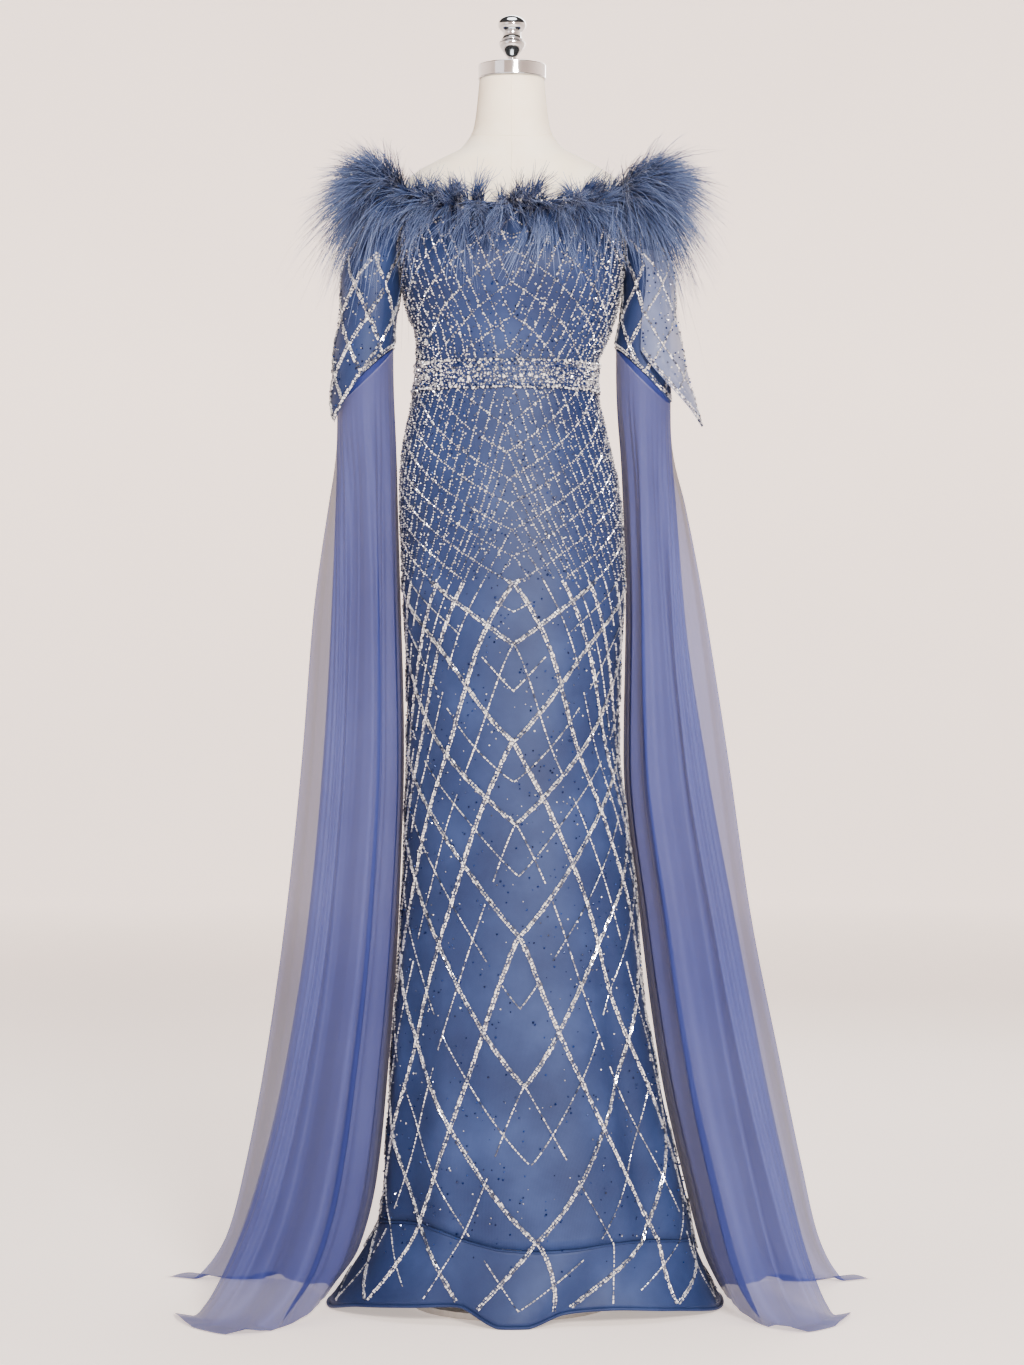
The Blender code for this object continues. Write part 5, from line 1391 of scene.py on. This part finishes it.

# Ostrich feather, dyed blue: soft and matt, darker at its root and pale at its tip. The pale tip is
# painted light, standing in for light that comes through the thin barb. Each tuft took the dye a little
# differently.
feather, tree, shader = finish("dyed_ostrich_feather", {
    "Roughness": 0.72, "Sheen Weight": 0.3, "Sheen Roughness": 0.4, "Specular IOR Level": 0.3})
height, tint = [add(tree, "ShaderNodeAttribute", attribute_name=label).outputs["Fac"] for label in ("t", "tint")]
# Dyed blue, darker at the root; the pale tip is painted light coming through the barb.
dye_and_tip_light = add(tree, RAMP, {"Fac": height}, [(0.0, "#1E2C54"), (0.35, "#3C5286"), (1.0, "#95A6CB")])
own = add(tree, RAMP, {"Fac": tint}, [(0.0, "#666C82"), (0.5, "#C9CCD6"), (1.0, "#FFFFFF")])
mixed = add(tree, MIX, {"Factor": 1.0, "A": dye_and_tip_light, "B": own}, data_type="RGBA", blend_type="MULTIPLY")
feed(shader, {"Base Color": mixed})
print("barb tree", len(barbs_tree.nodes), "nodes, and feather finish")

# %% Tufts on the neckline ring
Tufts = namedtuple("Tufts", "count barbs reach low high bend standing")
TUFTS = {
    "front": Tufts(200, 23, 0.063, -64, 84, 0.032, 0.42), "back": Tufts(180, 22, 0.060, -64, 80, 0.032, 0.40),
    "right": Tufts(225, 24, 0.104, -56, 72, 0.070, 0.55), "left": Tufts(225, 24, 0.104, -56, 72, 0.070, 0.55),
}
REGIONS = {"front": (-58, 58), "right": (58, 122), "back": (122, 238), "left": (-122, -58)}


def tuft_points(kind, first, last):
    """Roots, ways, lengths and bends of all barbs of one trim."""
    tufts = TUFTS[kind]
    count = tufts.count
    a = rng.uniform(first, last, count)
    root = neckline_point(a, rng.uniform(-0.006, 0.006, count), TRIM_GAP + 0.0012)
    out = unit(neckline_point(a, 0.0, 0.02) - neckline_point(a, 0.0, 0.0))
    side, up = np.cross(out, (0.0, 0.0, 1.0)), np.array([0, 0, 1.0])
    standing = rng.random(count) < tufts.standing
    rise = np.where(standing, rng.uniform(20, tufts.high, count), rng.uniform(tufts.low, 20, count))
    lean = rng.normal(0, 0.40, count)
    each = np.repeat(np.arange(count), tufts.barbs)
    n = len(each)
    rise = np.radians(rise)[each] + rng.normal(0, 0.11, n)
    lean = lean[each] + rng.normal(0, 0.11, n)
    way = out[each] * np.cos(rise)[:, None] + up * np.sin(rise)[:, None] + side[each] * lean[:, None]
    reach = tufts.reach * rng.uniform(0.6, 1.12, count)[each] * rng.uniform(0.7, 1.1, n)
    reach *= np.where(rng.random(n) < 0.02, 1.45, 1.0)  # a few long strays
    fall = tufts.bend * (reach / tufts.reach) ** 2 * rng.uniform(0.5, 1.25, n)
    bend = -up * fall[:, None] + rng.normal(0, 0.004, (count, 3))[each] + rng.normal(0, 0.003, (n, 3))
    bend += out[each] * (-0.25 * fall * (rise < 0))[:, None]
    wave = rng.normal(0, 0.0014, (n, 3))
    tint = 0.7 * rng.random(count)[each] + 0.3 * rng.random(n)
    points = root[each] + rng.normal(0, 0.0012, (n, 3))
    face = unit(out[each] + rng.normal(0, 0.7, (n, 3)))
    return points, dict(along=unit(way), face=face, reach=reach, bend=bend, wave=wave, tint=tint)


GLITTER = 26  # beads caught in each trim, a little past the middle of their barbs
glitter = []
for kind, (first, last) in REGIONS.items():
    name = f"trim_{kind}_barbs"
    points, values = tuft_points(kind, first, last)
    grow(name, seeds_of(name, points, **values), barbs_tree, "feather", f"trim_{kind}",
         Width=0.0015, Taper=0.84, Material=feather)
    some = rng.choice(len(points), GLITTER, replace=False)
    way, reach, bend = [values[label][some] for label in ("along", "reach", "bend")]
    at = points[some] + way * reach[:, None] * 0.55 + bend * 0.34
    glitter.append(np.concatenate([at, way, values["face"][some]], -1))
beads("feather_glitter", np.concatenate(glitter), seed_tree, silver, 0.0034, slot="feather", Seed=67)
